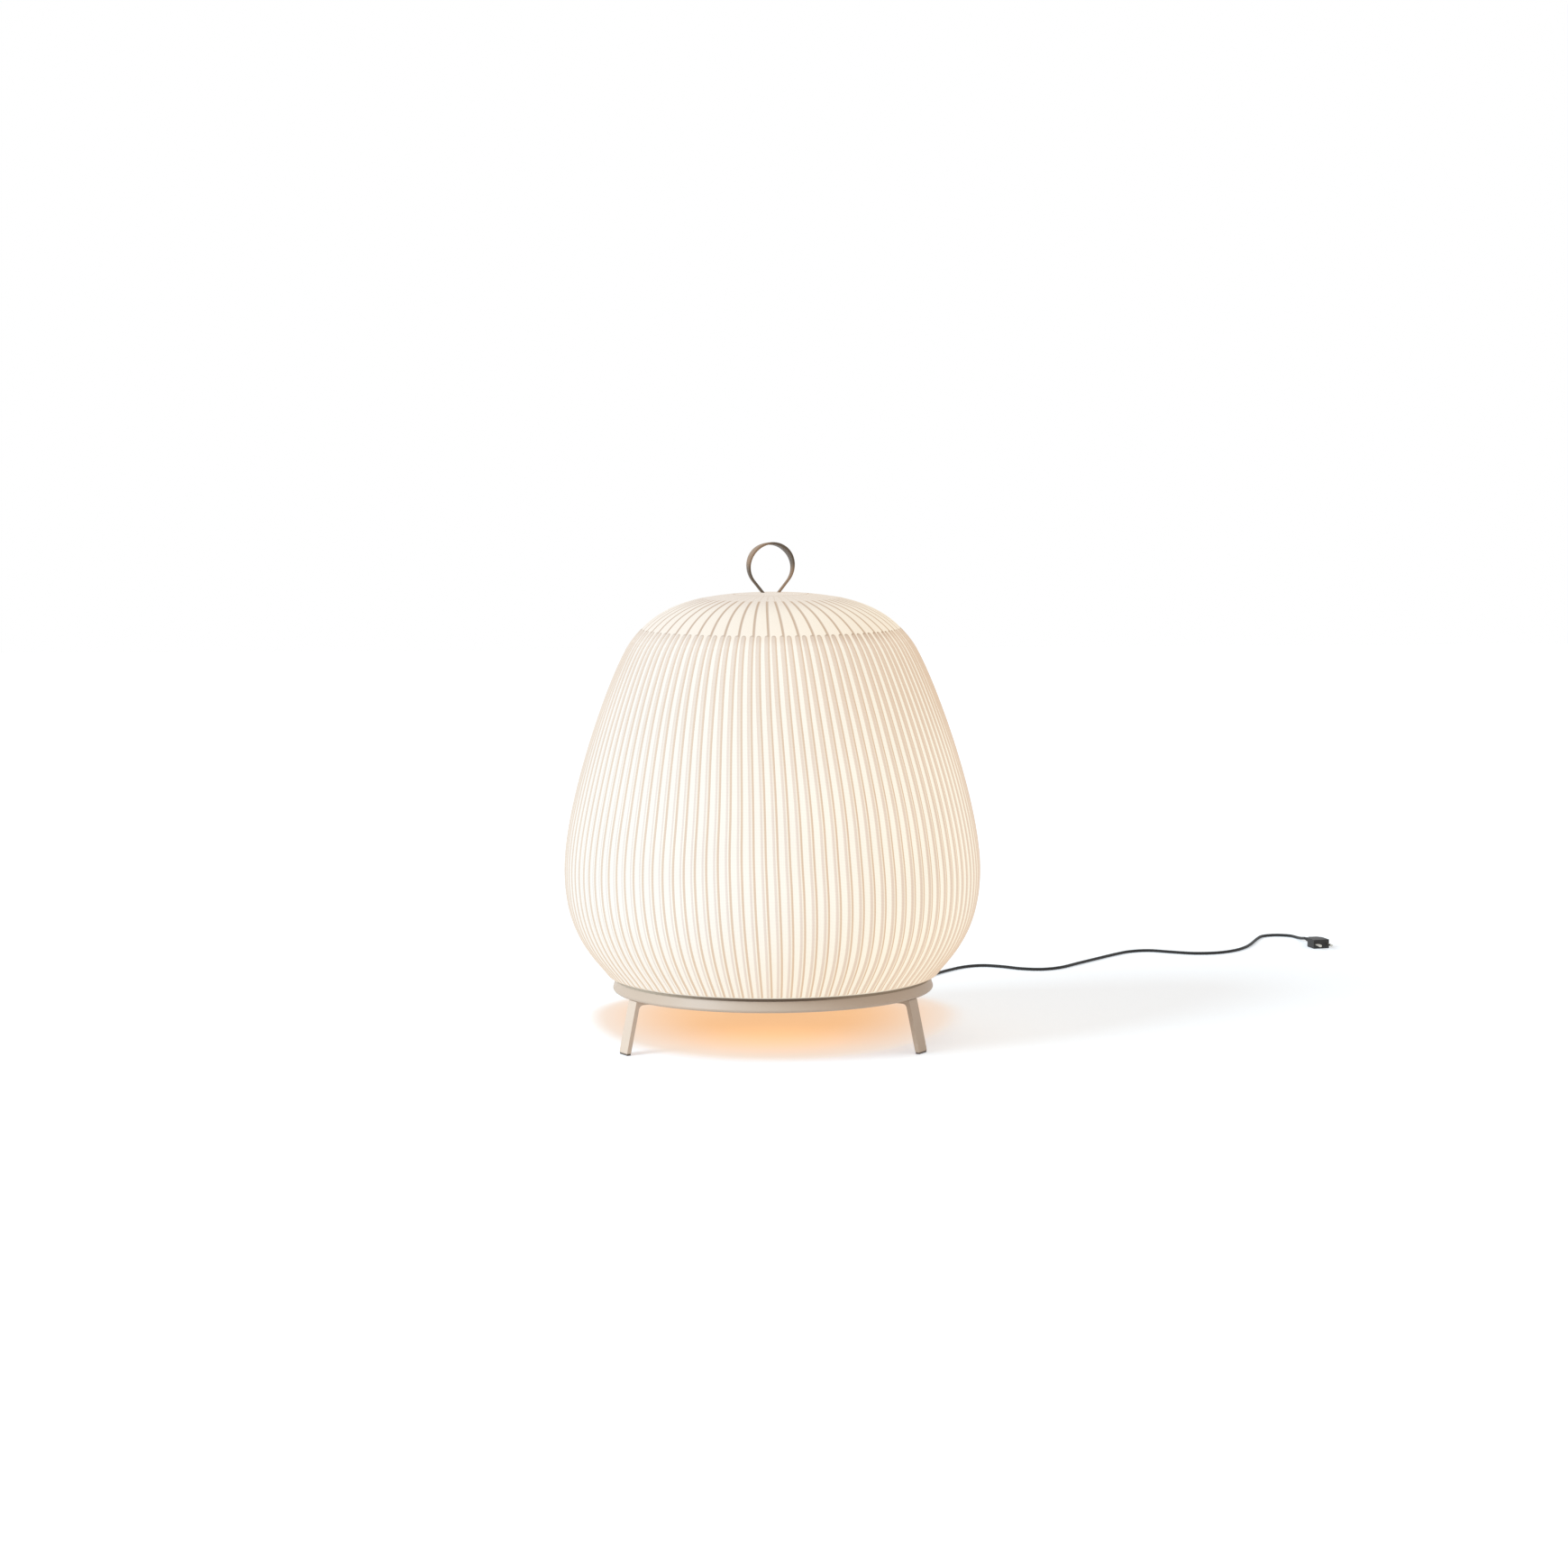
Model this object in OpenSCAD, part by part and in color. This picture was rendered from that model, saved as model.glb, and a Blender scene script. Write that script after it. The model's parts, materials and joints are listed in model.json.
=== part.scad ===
// Knitted floor lamp: a ribbed knit cover on a shallow round tray with three flat legs, a loop
// handle on the crest, a light column inside, a down light under the tray and a mains cord.
// Millimetres, Z up, origin on the floor under the middle of the tray.

/* [Knit cover] */
// Radius of the cover at its widest
shade_r = 284.2; // [276:0.1:292]
// Height of the widest level above the floor
belly_z = 237.3; // [225:0.1:250]
// How far the top of the sides lies inside the widest radius
shoulder_step = 93.2; // [86:0.1:101]
// How far the top of the sides lies below the crest
shoulder_drop = 66.1; // [60:0.1:74]
// Height of the crest above the floor
crest_z = 615.5; // [606:0.1:626]
// Angle of the cover at the shoulder, above the horizontal
shoulder_slope = 54.2; // [48:0.1:60]
// Thickness of the double knit
knit_t = 2.5; // [1.6:0.1:3.4]
// Clearance between the cover and the pieces that it wraps
cover_gap = 0.4; // [0.3:0.05:0.8]
// How far the cover swells out over the tray's rim
cover_swell = 10.5; // [6:0.5:11]

/* [Tray and legs] */
// Height of the tray's underside above the floor
tray_z = 71.7; // [66:0.1:85]
// How far the cover's widest radius stands out past the tray
tray_step = 64.8; // [58:0.1:72]
// How far the rim leans in
rim_lean = 5.2; // [4:0.1:6]
// Height of the rim above the tray's underside
rim_h = 20.5; // [17:0.1:22]
// Thickness of the rim's sheet
rim_t = 2; // [1.5:0.1:2.4]
// Thickness of the tray's floor
floor_t = 2.5; // [2:0.1:3.5]
// Radius of the tray's bottom corner
tray_corner = 4; // [3:0.5:6]
// Width of a leg's flat bar
leg_w = 22; // [18:0.5:30]
// Thickness of a leg's flat bar
leg_t = 6; // [5:0.5:8]
// Thickness of the mounting tab on a leg
tab_t = 5; // [4:0.5:6]
// Radius of the inside corner under the tab
leg_fillet = 6.5; // [6:0.5:14]
// How far the legs' outer faces stay inside the tray's edge
leg_inset = 1.9; // [1:0.1:4]
// How far the legs lean outwards
leg_splay = 12.4; // [8:0.1:16]
// Length of a leg's mounting tab
tab_len = 53.5; // [48:0.5:60]
// Thickness of a foot pad
pad_h = 2.5; // [2:0.5:4]
// Radius of the leg screws' shanks
leg_screw_r = 2; // [1.5:0.25:2.5]

/* [Down light] */
// Width of the tray's floor inside the light housing, round its window
window_edge = 14; // [10:0.5:18]
// Height of the light housing
housing_h = 34; // [28:1:44]
// Thickness of the light housing's sheet
housing_t = 2; // [1.5:0.1:2.5]
// Width of the light housing's foot flange
housing_flange = 14; // [12:0.5:16]
// Thickness of the opal disc
opal_t = 3; // [2:0.5:4]
// How far the down light's board stays inside the light housing
glow_board_edge = 20; // [17:0.5:24]
// Thickness of every circuit board
board_t = 1.6; // [1:0.2:2]

/* [Light column] */
// Outer radius of the stem tube
stem_r = 11; // [9:0.5:12]
// Wall of the stem tube
stem_t = 1.5; // [1.2:0.1:2]
// Radius of the stem's foot flange
foot_r = 32; // [28:1:36]
// Thickness of the stem's foot flange
foot_t = 6; // [5:0.5:8]
// Height of the stem's socket above its flange
socket_h = 18; // [14:1:24]
// Width of the square light column
column_w = 36; // [34:0.5:44]
// Wall of the light column's hollow profile
column_wall = 1.8; // [1.2:0.1:2.4]
// Free height between the light column and the light tube's cap
column_gap = 22.8; // [15:0.1:40]
// Outer radius of the opal light tube
tube_r = 65; // [60:1:72]
// Wall of the opal light tube
tube_t = 3; // [2:0.5:4]
// Free height between the light tube and the top of the stem
tube_gap = 43.8; // [35:0.1:55]

/* [Crown and loop handle] */
// Radius of the disc that carries the cover's top
crown_disc_r = 91; // [84:0.5:98]
// Thickness of the crown disc's sheet
crown_t = 2; // [1.5:0.1:2.5]
// Radius of the handle's seat in the crown disc
seat_r = 22; // [20:0.5:25]
// Depth of the handle's seat below the crest
seat_drop = 8.5; // [8.2:0.1:10]
// Radius of the loop, to the middle of its strap
loop_r = 31; // [28:0.5:34]
// Height of the loop's centre above the crest
loop_rise = 34.1; // [31:0.1:37]
// Width of the handle's strap
strap_w = 20; // [16:0.5:23]
// Thickness of the handle's strap
strap_t = 3; // [2:0.1:3.4]
// Half the width of the strap's flat foot
strap_foot = 7.3; // [6.7:0.1:9]
// Turn of the loop about the lamp's axis
loop_turn = 13; // [0:1:40]
// Radius of the handle screw's shank
handle_screw_r = 2.5; // [2:0.25:2.5]

/* [Driver] */
// Length of the driver's case
driver_len = 120; // [100:2:122]
// Width of the driver's case
driver_w = 50; // [40:1:52]
// Height of the driver's case without its lid
driver_h = 24; // [18:1:30]
// Wall of the driver's case
driver_wall = 2; // [1.5:0.25:3]
// Free width between the driver and the light housing
driver_gap = 11; // [8:0.5:14]
// Length of the terminal block
block_len = 40; // [30:1:44]
// Depth of the terminal block
block_w = 16; // [12:1:16]
// Height of the terminal block
block_h = 14; // [12:1:18]

/* [Cord and gland] */
// Diameter of the mains cord
cord_d = 4.6; // [4:0.1:5]
// Radius of the gland's barrel
gland_r = 6; // [5:0.25:6.5]
// Across the corners radius of the gland's hexagons
gland_hex_r = 8.5; // [8:0.25:9]
// Length of the gland's strain relief
relief_len = 20; // [16:1:20]

/* [Foot dimmer] */
// Length of the dimmer's case
dimmer_len = 96; // [84:2:100]
// Width of the dimmer's case
dimmer_w = 46; // [42:1:50]
// Height of the dimmer's case
dimmer_h = 24; // [23:0.5:30]
// Wall of the dimmer's case
dimmer_wall = 2; // [1.5:0.25:2.5]
// Radius of the dimmer's upright corners
dimmer_corner = 10; // [7:0.5:14]
// Radius of the push button
button_r = 13; // [11:0.5:14]
// How far the button stands out at rest
button_out = 3; // [2.5:0.25:5]
// Travel of the button
button_travel = 2; // [1:0.25:2.25]
// Clearance round the button
button_gap = 0.4; // [0.3:0.05:0.8]
// Length of each strain relief on the dimmer
dimmer_relief = 20; // [18:1:24]

/* [Cord coil] */
// Radius of the coil at the middle of its turns
coil_mid_r = 26; // [25:0.5:28]
// Clearance between one turn and the next
turn_gap = 0.5; // [0.45:0.05:0.8]
// Whole turns in the coil
coil_turns = 4; // [2:1:6]
// Width of a coil tie
tie_w = 8; // [5:0.5:10]
// Thickness of a coil tie
tie_t = 0.8; // [0.6:0.1:1.2]

/* [Plug] */
// Length of the plug's body
plug_len = 36; // [32:1:40]
// Width of the plug's body
plug_w = 26; // [25:0.5:32]
// Height of the plug's body
plug_h = 14; // [13:0.5:16]
// Radius of a plug pin
pin_r = 2; // [1.9:0.05:2.4]
// Free length of a plug pin
pin_len = 19; // [17:0.5:20]
// Distance between the pins
pin_pitch = 18.6; // [17:0.1:19.5]
// Length of the plug's strain relief
plug_relief_len = 22; // [20:1:30]

/* [Hidden] */
$fn = 72;

// Colours as the photograph shows them
knit_colour = [0.97, 0.93, 0.86];
metal_colour = [0.74, 0.68, 0.61];
loop_colour = [0.6, 0.52, 0.43];
opal_colour = [0.98, 0.88, 0.74];
dark_colour = [0.13, 0.12, 0.12];
steel_colour = [0.72, 0.72, 0.73];
white_colour = [0.95, 0.95, 0.94];
board_colour = [0.2, 0.42, 0.3];

// Small clearances
seat_fit = 0.2;
screw_fit = 0.2;
thread_fit = 0.05;
slip_fit = 0.4;

// Levels
tray_top = tray_z + floor_t;
rim_z = tray_z + rim_h;
housing_top = tray_top + housing_h;
ceiling_z = housing_top - housing_t;
socket_z = housing_top + foot_t;
column_z = socket_z + socket_h + seat_fit;
seat_z = crest_z - seat_drop;
plug_flange_h = 3;
stem_top_z = seat_z - crown_t - plug_flange_h;
tube_top = stem_top_z - tube_gap;
column_len = tube_top - tube_t - column_gap - column_z;
loop_z = crest_z + loop_rise;

// Radii, from the cover inwards: tray, rim, hem, hoop, driver, light housing and its window
tray_r = shade_r - tray_step;
rim_r = tray_r - rim_lean;
hem_r = rim_r - rim_t - 1.5;
hoop_r = hem_r - knit_t - cover_gap;
hoop_in_r = hoop_r - 10.3;
driver_out_x = sqrt(pow(hoop_in_r - 3, 2) - pow(driver_len / 2, 2));
driver_at = driver_out_x - driver_w / 2;
housing_flange_r = driver_at - driver_w / 2 - driver_gap;
housing_r = housing_flange_r - housing_flange;
window_r = housing_r - window_edge;
glow_board_r = housing_r - glow_board_edge;
leg_top_r = tray_r - leg_inset;
tab_in_r = leg_top_r - tab_len;

// Outline of the cover: a hem inside the rim, then three cubic curves to the crest
hem_z = tray_top + 1.3;
mouth = [rim_r + cover_swell, rim_z + 1.8];
mouth_slope = 47.3;
mouth_pull = 45.5;
belly = [shade_r, belly_z];
belly_pull_down = 76.2;
belly_pull_up = 91.9;
shoulder = [shade_r - shoulder_step, crest_z - shoulder_drop];
shoulder_pull_down = 46.7;
shoulder_pull_up = 55.2;
crest = [0, crest_z];
crest_pull = 110;
out_mouth = [cos(mouth_slope), sin(mouth_slope)];
up_shoulder = [-cos(shoulder_slope), sin(shoulder_slope)];
lip_curve = [[hem_r, rim_z - 3.5], [hem_r, rim_z + 2.6], [rim_r - 0.6, rim_z + 0.9], mouth];
low_curve = [mouth, mouth + mouth_pull * out_mouth, belly - [0, belly_pull_down], belly];
side_curve = [belly, belly + [0, belly_pull_up], shoulder - shoulder_pull_down * up_shoulder, shoulder];
dome_curve = [shoulder, shoulder + shoulder_pull_up * up_shoulder, [crest_pull, crest_z], crest];

// Point and direction along a cubic curve, and the point moved inwards, square to the curve
function on_curve(c, t) =
    pow(1 - t, 3) * c[0] + 3 * pow(1 - t, 2) * t * c[1] + 3 * (1 - t) * t * t * c[2]
    + pow(t, 3) * c[3];
function along_curve(c, t) =
    pow(1 - t, 2) * (c[1] - c[0]) + 2 * (1 - t) * t * (c[2] - c[1]) + t * t * (c[3] - c[2]);
function inside_curve(c, t, depth) =
    let(d = along_curve(c, t) / norm(along_curve(c, t)))
    on_curve(c, t) + depth * [-d[1], d[0]];

// Place along the dome's curve where it has a given radius, found by halving
function dome_place(r, low = 0, high = 1, n = 24) =
    n == 0 ? (low + high) / 2
    : on_curve(dome_curve, (low + high) / 2)[0] > r
        ? dome_place(r, (low + high) / 2, high, n - 1)
        : dome_place(r, low, (low + high) / 2, n - 1);
function crown_z(r) = on_curve(dome_curve, dome_place(r))[1] - knit_t - 2 * cover_gap;

// Sweep of a round tube along points, with its side vector carried from ring to ring
function unit(v) = v / norm(v);
function tangents(p) = [
    for (i = [0:len(p) - 1]) unit(p[min(i + 1, len(p) - 1)] - p[max(i - 1, 0)])
];
function squared(v, t) = unit(v - (v * t) * t);
function side_vectors(t, v, i = 0) =
    i == len(t) ? [] : let(n = squared(v, t[i])) concat([n], side_vectors(t, n, i + 1));

module tube_along(p, d, sides, side = [0, 0, 1]) {
    t = tangents(p);
    a = side_vectors(t, side);
    rings = [
        for (i = [0:len(p) - 1])
            for (k = [0:sides - 1])
                let(turn = 360 * (k + 0.5) / sides)
                p[i] + d / 2 * (cos(turn) * a[i] + sin(turn) * cross(t[i], a[i]))
    ];
    last = (len(p) - 1) * sides;
    walls = [
        for (i = [0:len(p) - 2])
            for (k = [0:sides - 1])
                let(m = (k + 1) % sides, q = i * sides)
                each [
                    [q + k, q + sides + k, q + sides + m],
                    [q + k, q + sides + m, q + m]
                ]
    ];
    first_cap = [for (k = [1:sides - 2]) [0, k, k + 1]];
    last_cap = [for (k = [1:sides - 2]) [last, last + k + 1, last + k]];
    polyhedron(rings, concat(walls, first_cap, last_cap));
}

// Smooth line through a route's points, straight between the first two and the last two
function smooth(p, per) = concat(
    [p[0]],
    [
        for (i = [1:len(p) - 3])
            for (k = [0:per - 1])
                let(t = k / per, a = p[i - 1], b = p[i], c = p[i + 1], d = p[i + 2])
                0.5 * (2 * b + (c - a) * t + (2 * a - 5 * b + 4 * c - d) * t * t
                + (3 * b - a - 3 * c + d) * pow(t, 3))
    ],
    [p[len(p) - 2], p[len(p) - 1]]
);

// Cord places: the gland under the tray, the dimmer and coil on the floor close behind, the plug
cord_r = cord_d / 2;
gland_turn = 105.52;
gland_way = [cos(gland_turn), sin(gland_turn)];
gland_far = hoop_in_r - gland_hex_r - 2.2;
gland_at = gland_far * gland_way;
relief_end_z = tray_z - 5.7 - relief_len;
dimmer_at = [8, 352];
entry_z = 7;
coil_pitch = cord_d + turn_gap;
coil_angle = 360 * coil_turns + 60;
coil_out_r = coil_mid_r + coil_pitch * coil_angle / 1440;
coil_low_z = tie_t + 0.1 + cord_r;
coil_at = [104, dimmer_at[1] + coil_out_r];
plug_at = [855, 880];
plug_turn = -75;
plug_z = plug_h / 2;

// Coil: it winds in along the lower layer and out along the upper one, and climbs where it turns
coil_steps = round(24 * coil_angle / 360);
function coil_point(s) =
    let(
        way = coil_angle * s - coil_angle / 2,
        r = coil_out_r - coil_pitch * (coil_angle / 2 - abs(way)) / 360,
        climb = min(1, max(0, way / 180 + 0.5)),
        turn = coil_angle * s - 90
    )
    [
        coil_at[0] + r * cos(turn),
        coil_at[1] + r * sin(turn),
        coil_low_z + coil_pitch * climb * climb * (3 - 2 * climb)
    ];
coil_exit_way = [cos(coil_angle), sin(coil_angle), 0];
coil_start = coil_point(0) - [cord_d, 0, 0];
coil_end = coil_point(1) + cord_d * coil_exit_way;
coil_line = concat(
    [coil_start], [for (i = [0:coil_steps]) coil_point(i / coil_steps)], [coil_end]
);
coil_least_gap = min([
    for (i = [0:len(coil_line) - 1])
        for (j = [i + 8:1:len(coil_line) - 1])
            norm(coil_line[i] - coil_line[j]) - cord_d
]);
echo(coil_least_gap = coil_least_gap);

// Routes of the free cord, from the lamp to the dimmer and from the coil to the plug
stub = 2 * cord_d;
dimmer_in_x = dimmer_at[0] - dimmer_len / 2 - dimmer_relief;
dimmer_out_x = dimmer_at[0] + dimmer_len / 2 + dimmer_relief;
lamp_route = [
    [gland_at[0], gland_at[1], relief_end_z], [gland_at[0], gland_at[1], relief_end_z - stub],
    [-51, 184, 26], [-53, 194, 15], [-59, 214, 7.5], [-71, 238, 3.4], [-86, 258, cord_r],
    [-100, 281, cord_r], [-105, 307, cord_r], [-100, 330, 3.4], [-87, 345, 5.6],
    [dimmer_in_x - stub, dimmer_at[1], entry_z], [dimmer_in_x, dimmer_at[1], entry_z]
];
link_route = [
    [dimmer_out_x, dimmer_at[1], entry_z], [dimmer_out_x + cord_d, dimmer_at[1], entry_z],
    coil_start - [cord_d, 0, 0], coil_start
];
plug_way = [cos(plug_turn), sin(plug_turn), 0];
plug_start = [plug_at[0], plug_at[1], plug_z];
floor_route = concat(
    [coil_end, coil_end + stub * coil_exit_way],
    [
        [155, 410, 4], [176, 447, cord_r], [201, 490, cord_r], [228, 536, cord_r],
        [250, 575, cord_r], [271, 609, cord_r], [295, 638, cord_r], [323, 649, cord_r],
        [352, 636, cord_r], [380, 614, cord_r], [411, 607, cord_r], [441, 625, cord_r],
        [472, 669, cord_r], [503, 713, cord_r], [534, 756, cord_r], [561, 787, cord_r],
        [593, 797, cord_r], [626, 780, cord_r], [661, 764, cord_r], [697, 768, cord_r],
        [726, 790, cord_r], [747, 822, cord_r], [761, 857, cord_r], [772, 894, cord_r],
        [782, 926, cord_r], [793, 950, cord_r], [815, 960, cord_r], [837, 951, cord_r],
        [847, 929, cord_r], [850, 908, 4.4]
    ],
    [plug_start - stub * plug_way, plug_start]
);

module turned(angle, at = [0, 0, 0]) {
    translate(at) rotate([0, 0, angle]) children();
}

module ring_of(count, r, start = 0) {
    for (i = [0:count - 1]) turned(start + 360 * i / count) translate([r, 0, 0]) children();
}

module rod(r, low, high) {
    translate([0, 0, low]) cylinder(r = r, h = high - low, $fn = 32);
}

module hex_nut(r, bore, low, high) {
    translate([0, 0, low]) difference() {
        cylinder(r = r, h = high - low, $fn = 6);
        translate([0, 0, -1]) cylinder(r = bore, h = high - low + 2, $fn = 32);
    }
}

// Tray
tab_screws = [tab_in_r + 9, tab_in_r + 23];
lean_tan = tan(leg_splay);
leg_angles = [210, 330, 90];
housing_screw_at = housing_r + housing_flange / 2;
hoop_screw_at = (hoop_in_r + hoop_r) / 2 - 1;
small_screw_r = 1.5;
hoop_start = 30;
housing_start = 15;

module base_tray() {
    corner = [tray_r - tray_corner, tray_z + tray_corner];
    color(metal_colour) difference() {
        rotate_extrude() polygon(concat(
            [[window_r, tray_z]],
            [for (a = [-90:15:0]) corner + tray_corner * [cos(a), sin(a)]],
            [
                [rim_r, rim_z], [rim_r - rim_t, rim_z],
                [tray_r - rim_t, tray_z + tray_corner],
                [tray_r - rim_t - 1.5, tray_top], [window_r, tray_top]
            ]
        ));
        for (a = leg_angles, r = tab_screws)
            turned(a) translate([r, 0, 0])
                rod(leg_screw_r + screw_fit, tray_z - 1, tray_top + 1);
        ring_of(6, housing_screw_at, housing_start)
            rod(small_screw_r + thread_fit, tray_z - 1, tray_top + 1);
        ring_of(6, hoop_screw_at, hoop_start)
            rod(small_screw_r + thread_fit, tray_z - 1, tray_top + 1);
        translate([gland_at[0], gland_at[1], 0])
            rod(gland_r + screw_fit, tray_z - 1, tray_top + 1);
    }
}

// Legs: a flat bar that leans outwards, with a tab under the tray and a round inside corner
bar_in_r = leg_top_r - leg_t / cos(leg_splay);
function bar_r(from_r, z) = from_r + (tray_z - z) * lean_tan;
tab_under_z = tray_z - tab_t;
fillet_z = tab_under_z - leg_fillet;
fillet_r = bar_r(bar_in_r, fillet_z) - leg_fillet / cos(leg_splay);

module leg(angle) {
    color(metal_colour) turned(angle) difference() {
        translate([0, leg_w / 2, 0]) rotate([90, 0, 0]) linear_extrude(leg_w) polygon(concat(
            [
                [tab_in_r, tray_z], [leg_top_r, tray_z],
                [bar_r(leg_top_r, pad_h), pad_h], [bar_r(bar_in_r, pad_h), pad_h]
            ],
            [
                for (i = [0:8])
                    let(a = leg_splay + (90 - leg_splay) * i / 8)
                    [fillet_r, fillet_z] + leg_fillet * [cos(a), sin(a)]
            ],
            [[tab_in_r, tab_under_z]]
        ));
        for (r = tab_screws)
            translate([r, 0, 0]) rod(leg_screw_r + screw_fit, tab_under_z - 1, tray_z + 1);
    }
}

module foot_pad(angle) {
    inner = bar_r(bar_in_r, pad_h) + 0.4;
    outer = bar_r(leg_top_r, pad_h) - 0.4;
    color(dark_colour) turned(angle)
        translate([inner, 0.4 - leg_w / 2, 0]) cube([outer - inner, leg_w - 0.8, pad_h]);
}

module leg_front_left() { leg(leg_angles[0]); }
module leg_front_right() { leg(leg_angles[1]); }
module leg_rear() { leg(leg_angles[2]); }
module foot_pad_front_left() { foot_pad(leg_angles[0]); }
module foot_pad_front_right() { foot_pad(leg_angles[1]); }
module foot_pad_rear() { foot_pad(leg_angles[2]); }

leg_nut_h = 3.2;
leg_head_h = 2.4;

module leg_screws() {
    color(steel_colour) for (a = leg_angles, r = tab_screws) turned(a) translate([r, 0, 0]) {
        rod(1.9 * leg_screw_r, tab_under_z - leg_head_h, tab_under_z);
        rod(leg_screw_r, tab_under_z - 0.5, tray_top + leg_nut_h + 1);
    }
}

module leg_nuts() {
    color(steel_colour) for (a = leg_angles, r = tab_screws) turned(a) translate([r, 0, 0])
        hex_nut(2.1 * leg_screw_r, leg_screw_r + thread_fit, tray_top, tray_top + leg_nut_h);
}

// Down light under a pressed housing that also carries the stem
opal_r = housing_r - housing_t - 0.5;
foot_screw_at = (foot_r + stem_r + 5) / 2;
foot_screw_r = 2;
glow_hole_r = foot_r + 8;
glow_light_count = 24;

module glow_diffuser() {
    color(opal_colour) rod(opal_r, tray_top, tray_top + opal_t);
}

module glow_reflector() {
    low = tray_top + opal_t + seat_fit;
    high = ceiling_z - seat_fit;
    color(white_colour) rotate_extrude() polygon([
        [opal_r - 1.2, low], [opal_r, low],
        [glow_board_r + 3.2, high], [glow_board_r + 2, high]
    ]);
}

module glow_board() {
    low = ceiling_z - board_t;
    color(white_colour) {
        difference() {
            rod(glow_board_r, low, ceiling_z);
            rod(glow_hole_r, low - 1, ceiling_z + 1);
        }
        ring_of(glow_light_count, (glow_board_r + glow_hole_r) / 2)
            translate([-1.75, -1.75, low - 0.8]) cube([3.5, 3.5, 0.9]);
    }
}

module light_housing() {
    color(steel_colour) difference() {
        rotate_extrude() polygon([
            [4, ceiling_z], [housing_r - housing_t, ceiling_z],
            [housing_r - housing_t, tray_top], [housing_r + housing_flange, tray_top],
            [housing_r + housing_flange, tray_top + housing_t],
            [housing_r, tray_top + housing_t], [housing_r, housing_top], [4, housing_top]
        ]);
        ring_of(6, housing_screw_at, housing_start)
            rod(small_screw_r + screw_fit, tray_top - 1, tray_top + housing_t + 1);
        ring_of(3, foot_screw_at)
            rod(foot_screw_r + screw_fit, ceiling_z - 1, housing_top + 1);
    }
}

module housing_screws() {
    top = tray_top + housing_t;
    color(steel_colour) ring_of(6, housing_screw_at, housing_start) {
        rod(1.9 * small_screw_r, top, top + 1.8);
        rod(small_screw_r, tray_z + 0.2, top + 0.5);
    }
}

// Stem and light column
module stem_flange() {
    color(steel_colour) difference() {
        union() {
            rod(foot_r, housing_top, socket_z);
            rod(stem_r + 4, socket_z - 0.5, socket_z + socket_h);
        }
        rod(stem_r + thread_fit, housing_top + 2, socket_z + socket_h + 1);
        ring_of(3, foot_screw_at) rod(foot_screw_r + screw_fit, housing_top - 1, socket_z + 1);
    }
}

module flange_screws() {
    color(steel_colour) ring_of(3, foot_screw_at) {
        rod(1.75 * foot_screw_r, socket_z, socket_z + 2.4);
        rod(foot_screw_r, ceiling_z - 4.2, socket_z + 0.5);
    }
}

module flange_nuts() {
    color(steel_colour) ring_of(3, foot_screw_at)
        hex_nut(2.1 * foot_screw_r, foot_screw_r + thread_fit, ceiling_z - 3.2, ceiling_z);
}

module stem_tube() {
    color(steel_colour) difference() {
        rod(stem_r, housing_top + 2, stem_top_z);
        rod(stem_r - stem_t, housing_top + 1, stem_top_z + 1);
    }
}

// A hollow profile: a square wall, a sleeve round the stem and webs between them
module light_column() {
    sleeve_r = stem_r + slip_fit;
    color(steel_colour) translate([0, 0, column_z]) linear_extrude(column_len) difference() {
        union() {
            difference() {
                square(column_w, center = true);
                square(column_w - 2 * column_wall, center = true);
            }
            circle(r = sleeve_r + column_wall);
            square([column_w - 1, column_wall], center = true);
            square([column_wall, column_w - 1], center = true);
        }
        circle(r = sleeve_r);
    }
}

strip_w = 16;
strip_end = 10;
strip_lights = 10;

module light_strips() {
    strip_len = column_len - 2 * strip_end;
    step = strip_len / strip_lights;
    color(white_colour) for (a = [0:90:270]) turned(a) {
        translate([column_w / 2, -strip_w / 2, column_z + strip_end])
            cube([board_t, strip_w, strip_len]);
        for (i = [0:strip_lights - 1])
            translate([
                column_w / 2 + board_t - 0.1, -1.75,
                column_z + strip_end + step * (i + 0.5) - 1.75
            ])
                cube([0.9, 3.5, 3.5]);
    }
}

lead_d = 4;
notch_w = lead_d + 4;

module light_tube() {
    cap_r = stem_r + slip_fit;
    notch_h = notch_w + 2;
    color(opal_colour) difference() {
        rotate_extrude() polygon([
            [tube_r - tube_t, housing_top], [tube_r, housing_top], [tube_r, tube_top],
            [cap_r, tube_top], [cap_r, tube_top - tube_t], [tube_r - tube_t, tube_top - tube_t]
        ]);
        translate([-tube_r - 1, -notch_w / 2, housing_top - 1])
            cube([tube_t + 12, notch_w, notch_h + 1]);
    }
}

// Crown: a plug in the stem, a disc under the cover, and the loop handle screwed through it
module stem_plug() {
    bore = handle_screw_r + thread_fit;
    color(steel_colour) difference() {
        union() {
            rod(stem_r - stem_t - thread_fit, stem_top_z - 22, stem_top_z + 1);
            rod(stem_r + 5, stem_top_z, stem_top_z + plug_flange_h);
        }
        rod(bore, stem_top_z - 14, seat_z);
    }
}

module crown_disc() {
    out_r = seat_r + 2;
    step = (crown_disc_r - out_r) / 8;
    color(white_colour) rotate_extrude() polygon(concat(
        [[handle_screw_r + screw_fit, seat_z], [seat_r, seat_z]],
        [for (i = [0:8]) [out_r + i * step, crown_z(out_r + i * step)]],
        [[crown_disc_r, crown_z(crown_disc_r) - 6], [crown_disc_r - crown_t, crown_z(crown_disc_r) - 6]],
        [
            for (i = [0:7])
                let(r = crown_disc_r - crown_t - i * step)
                [r, crown_z(r) - crown_t]
        ],
        [[seat_r + crown_t, seat_z - crown_t], [handle_screw_r + screw_fit, seat_z - crown_t]]
    ));
}

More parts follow.
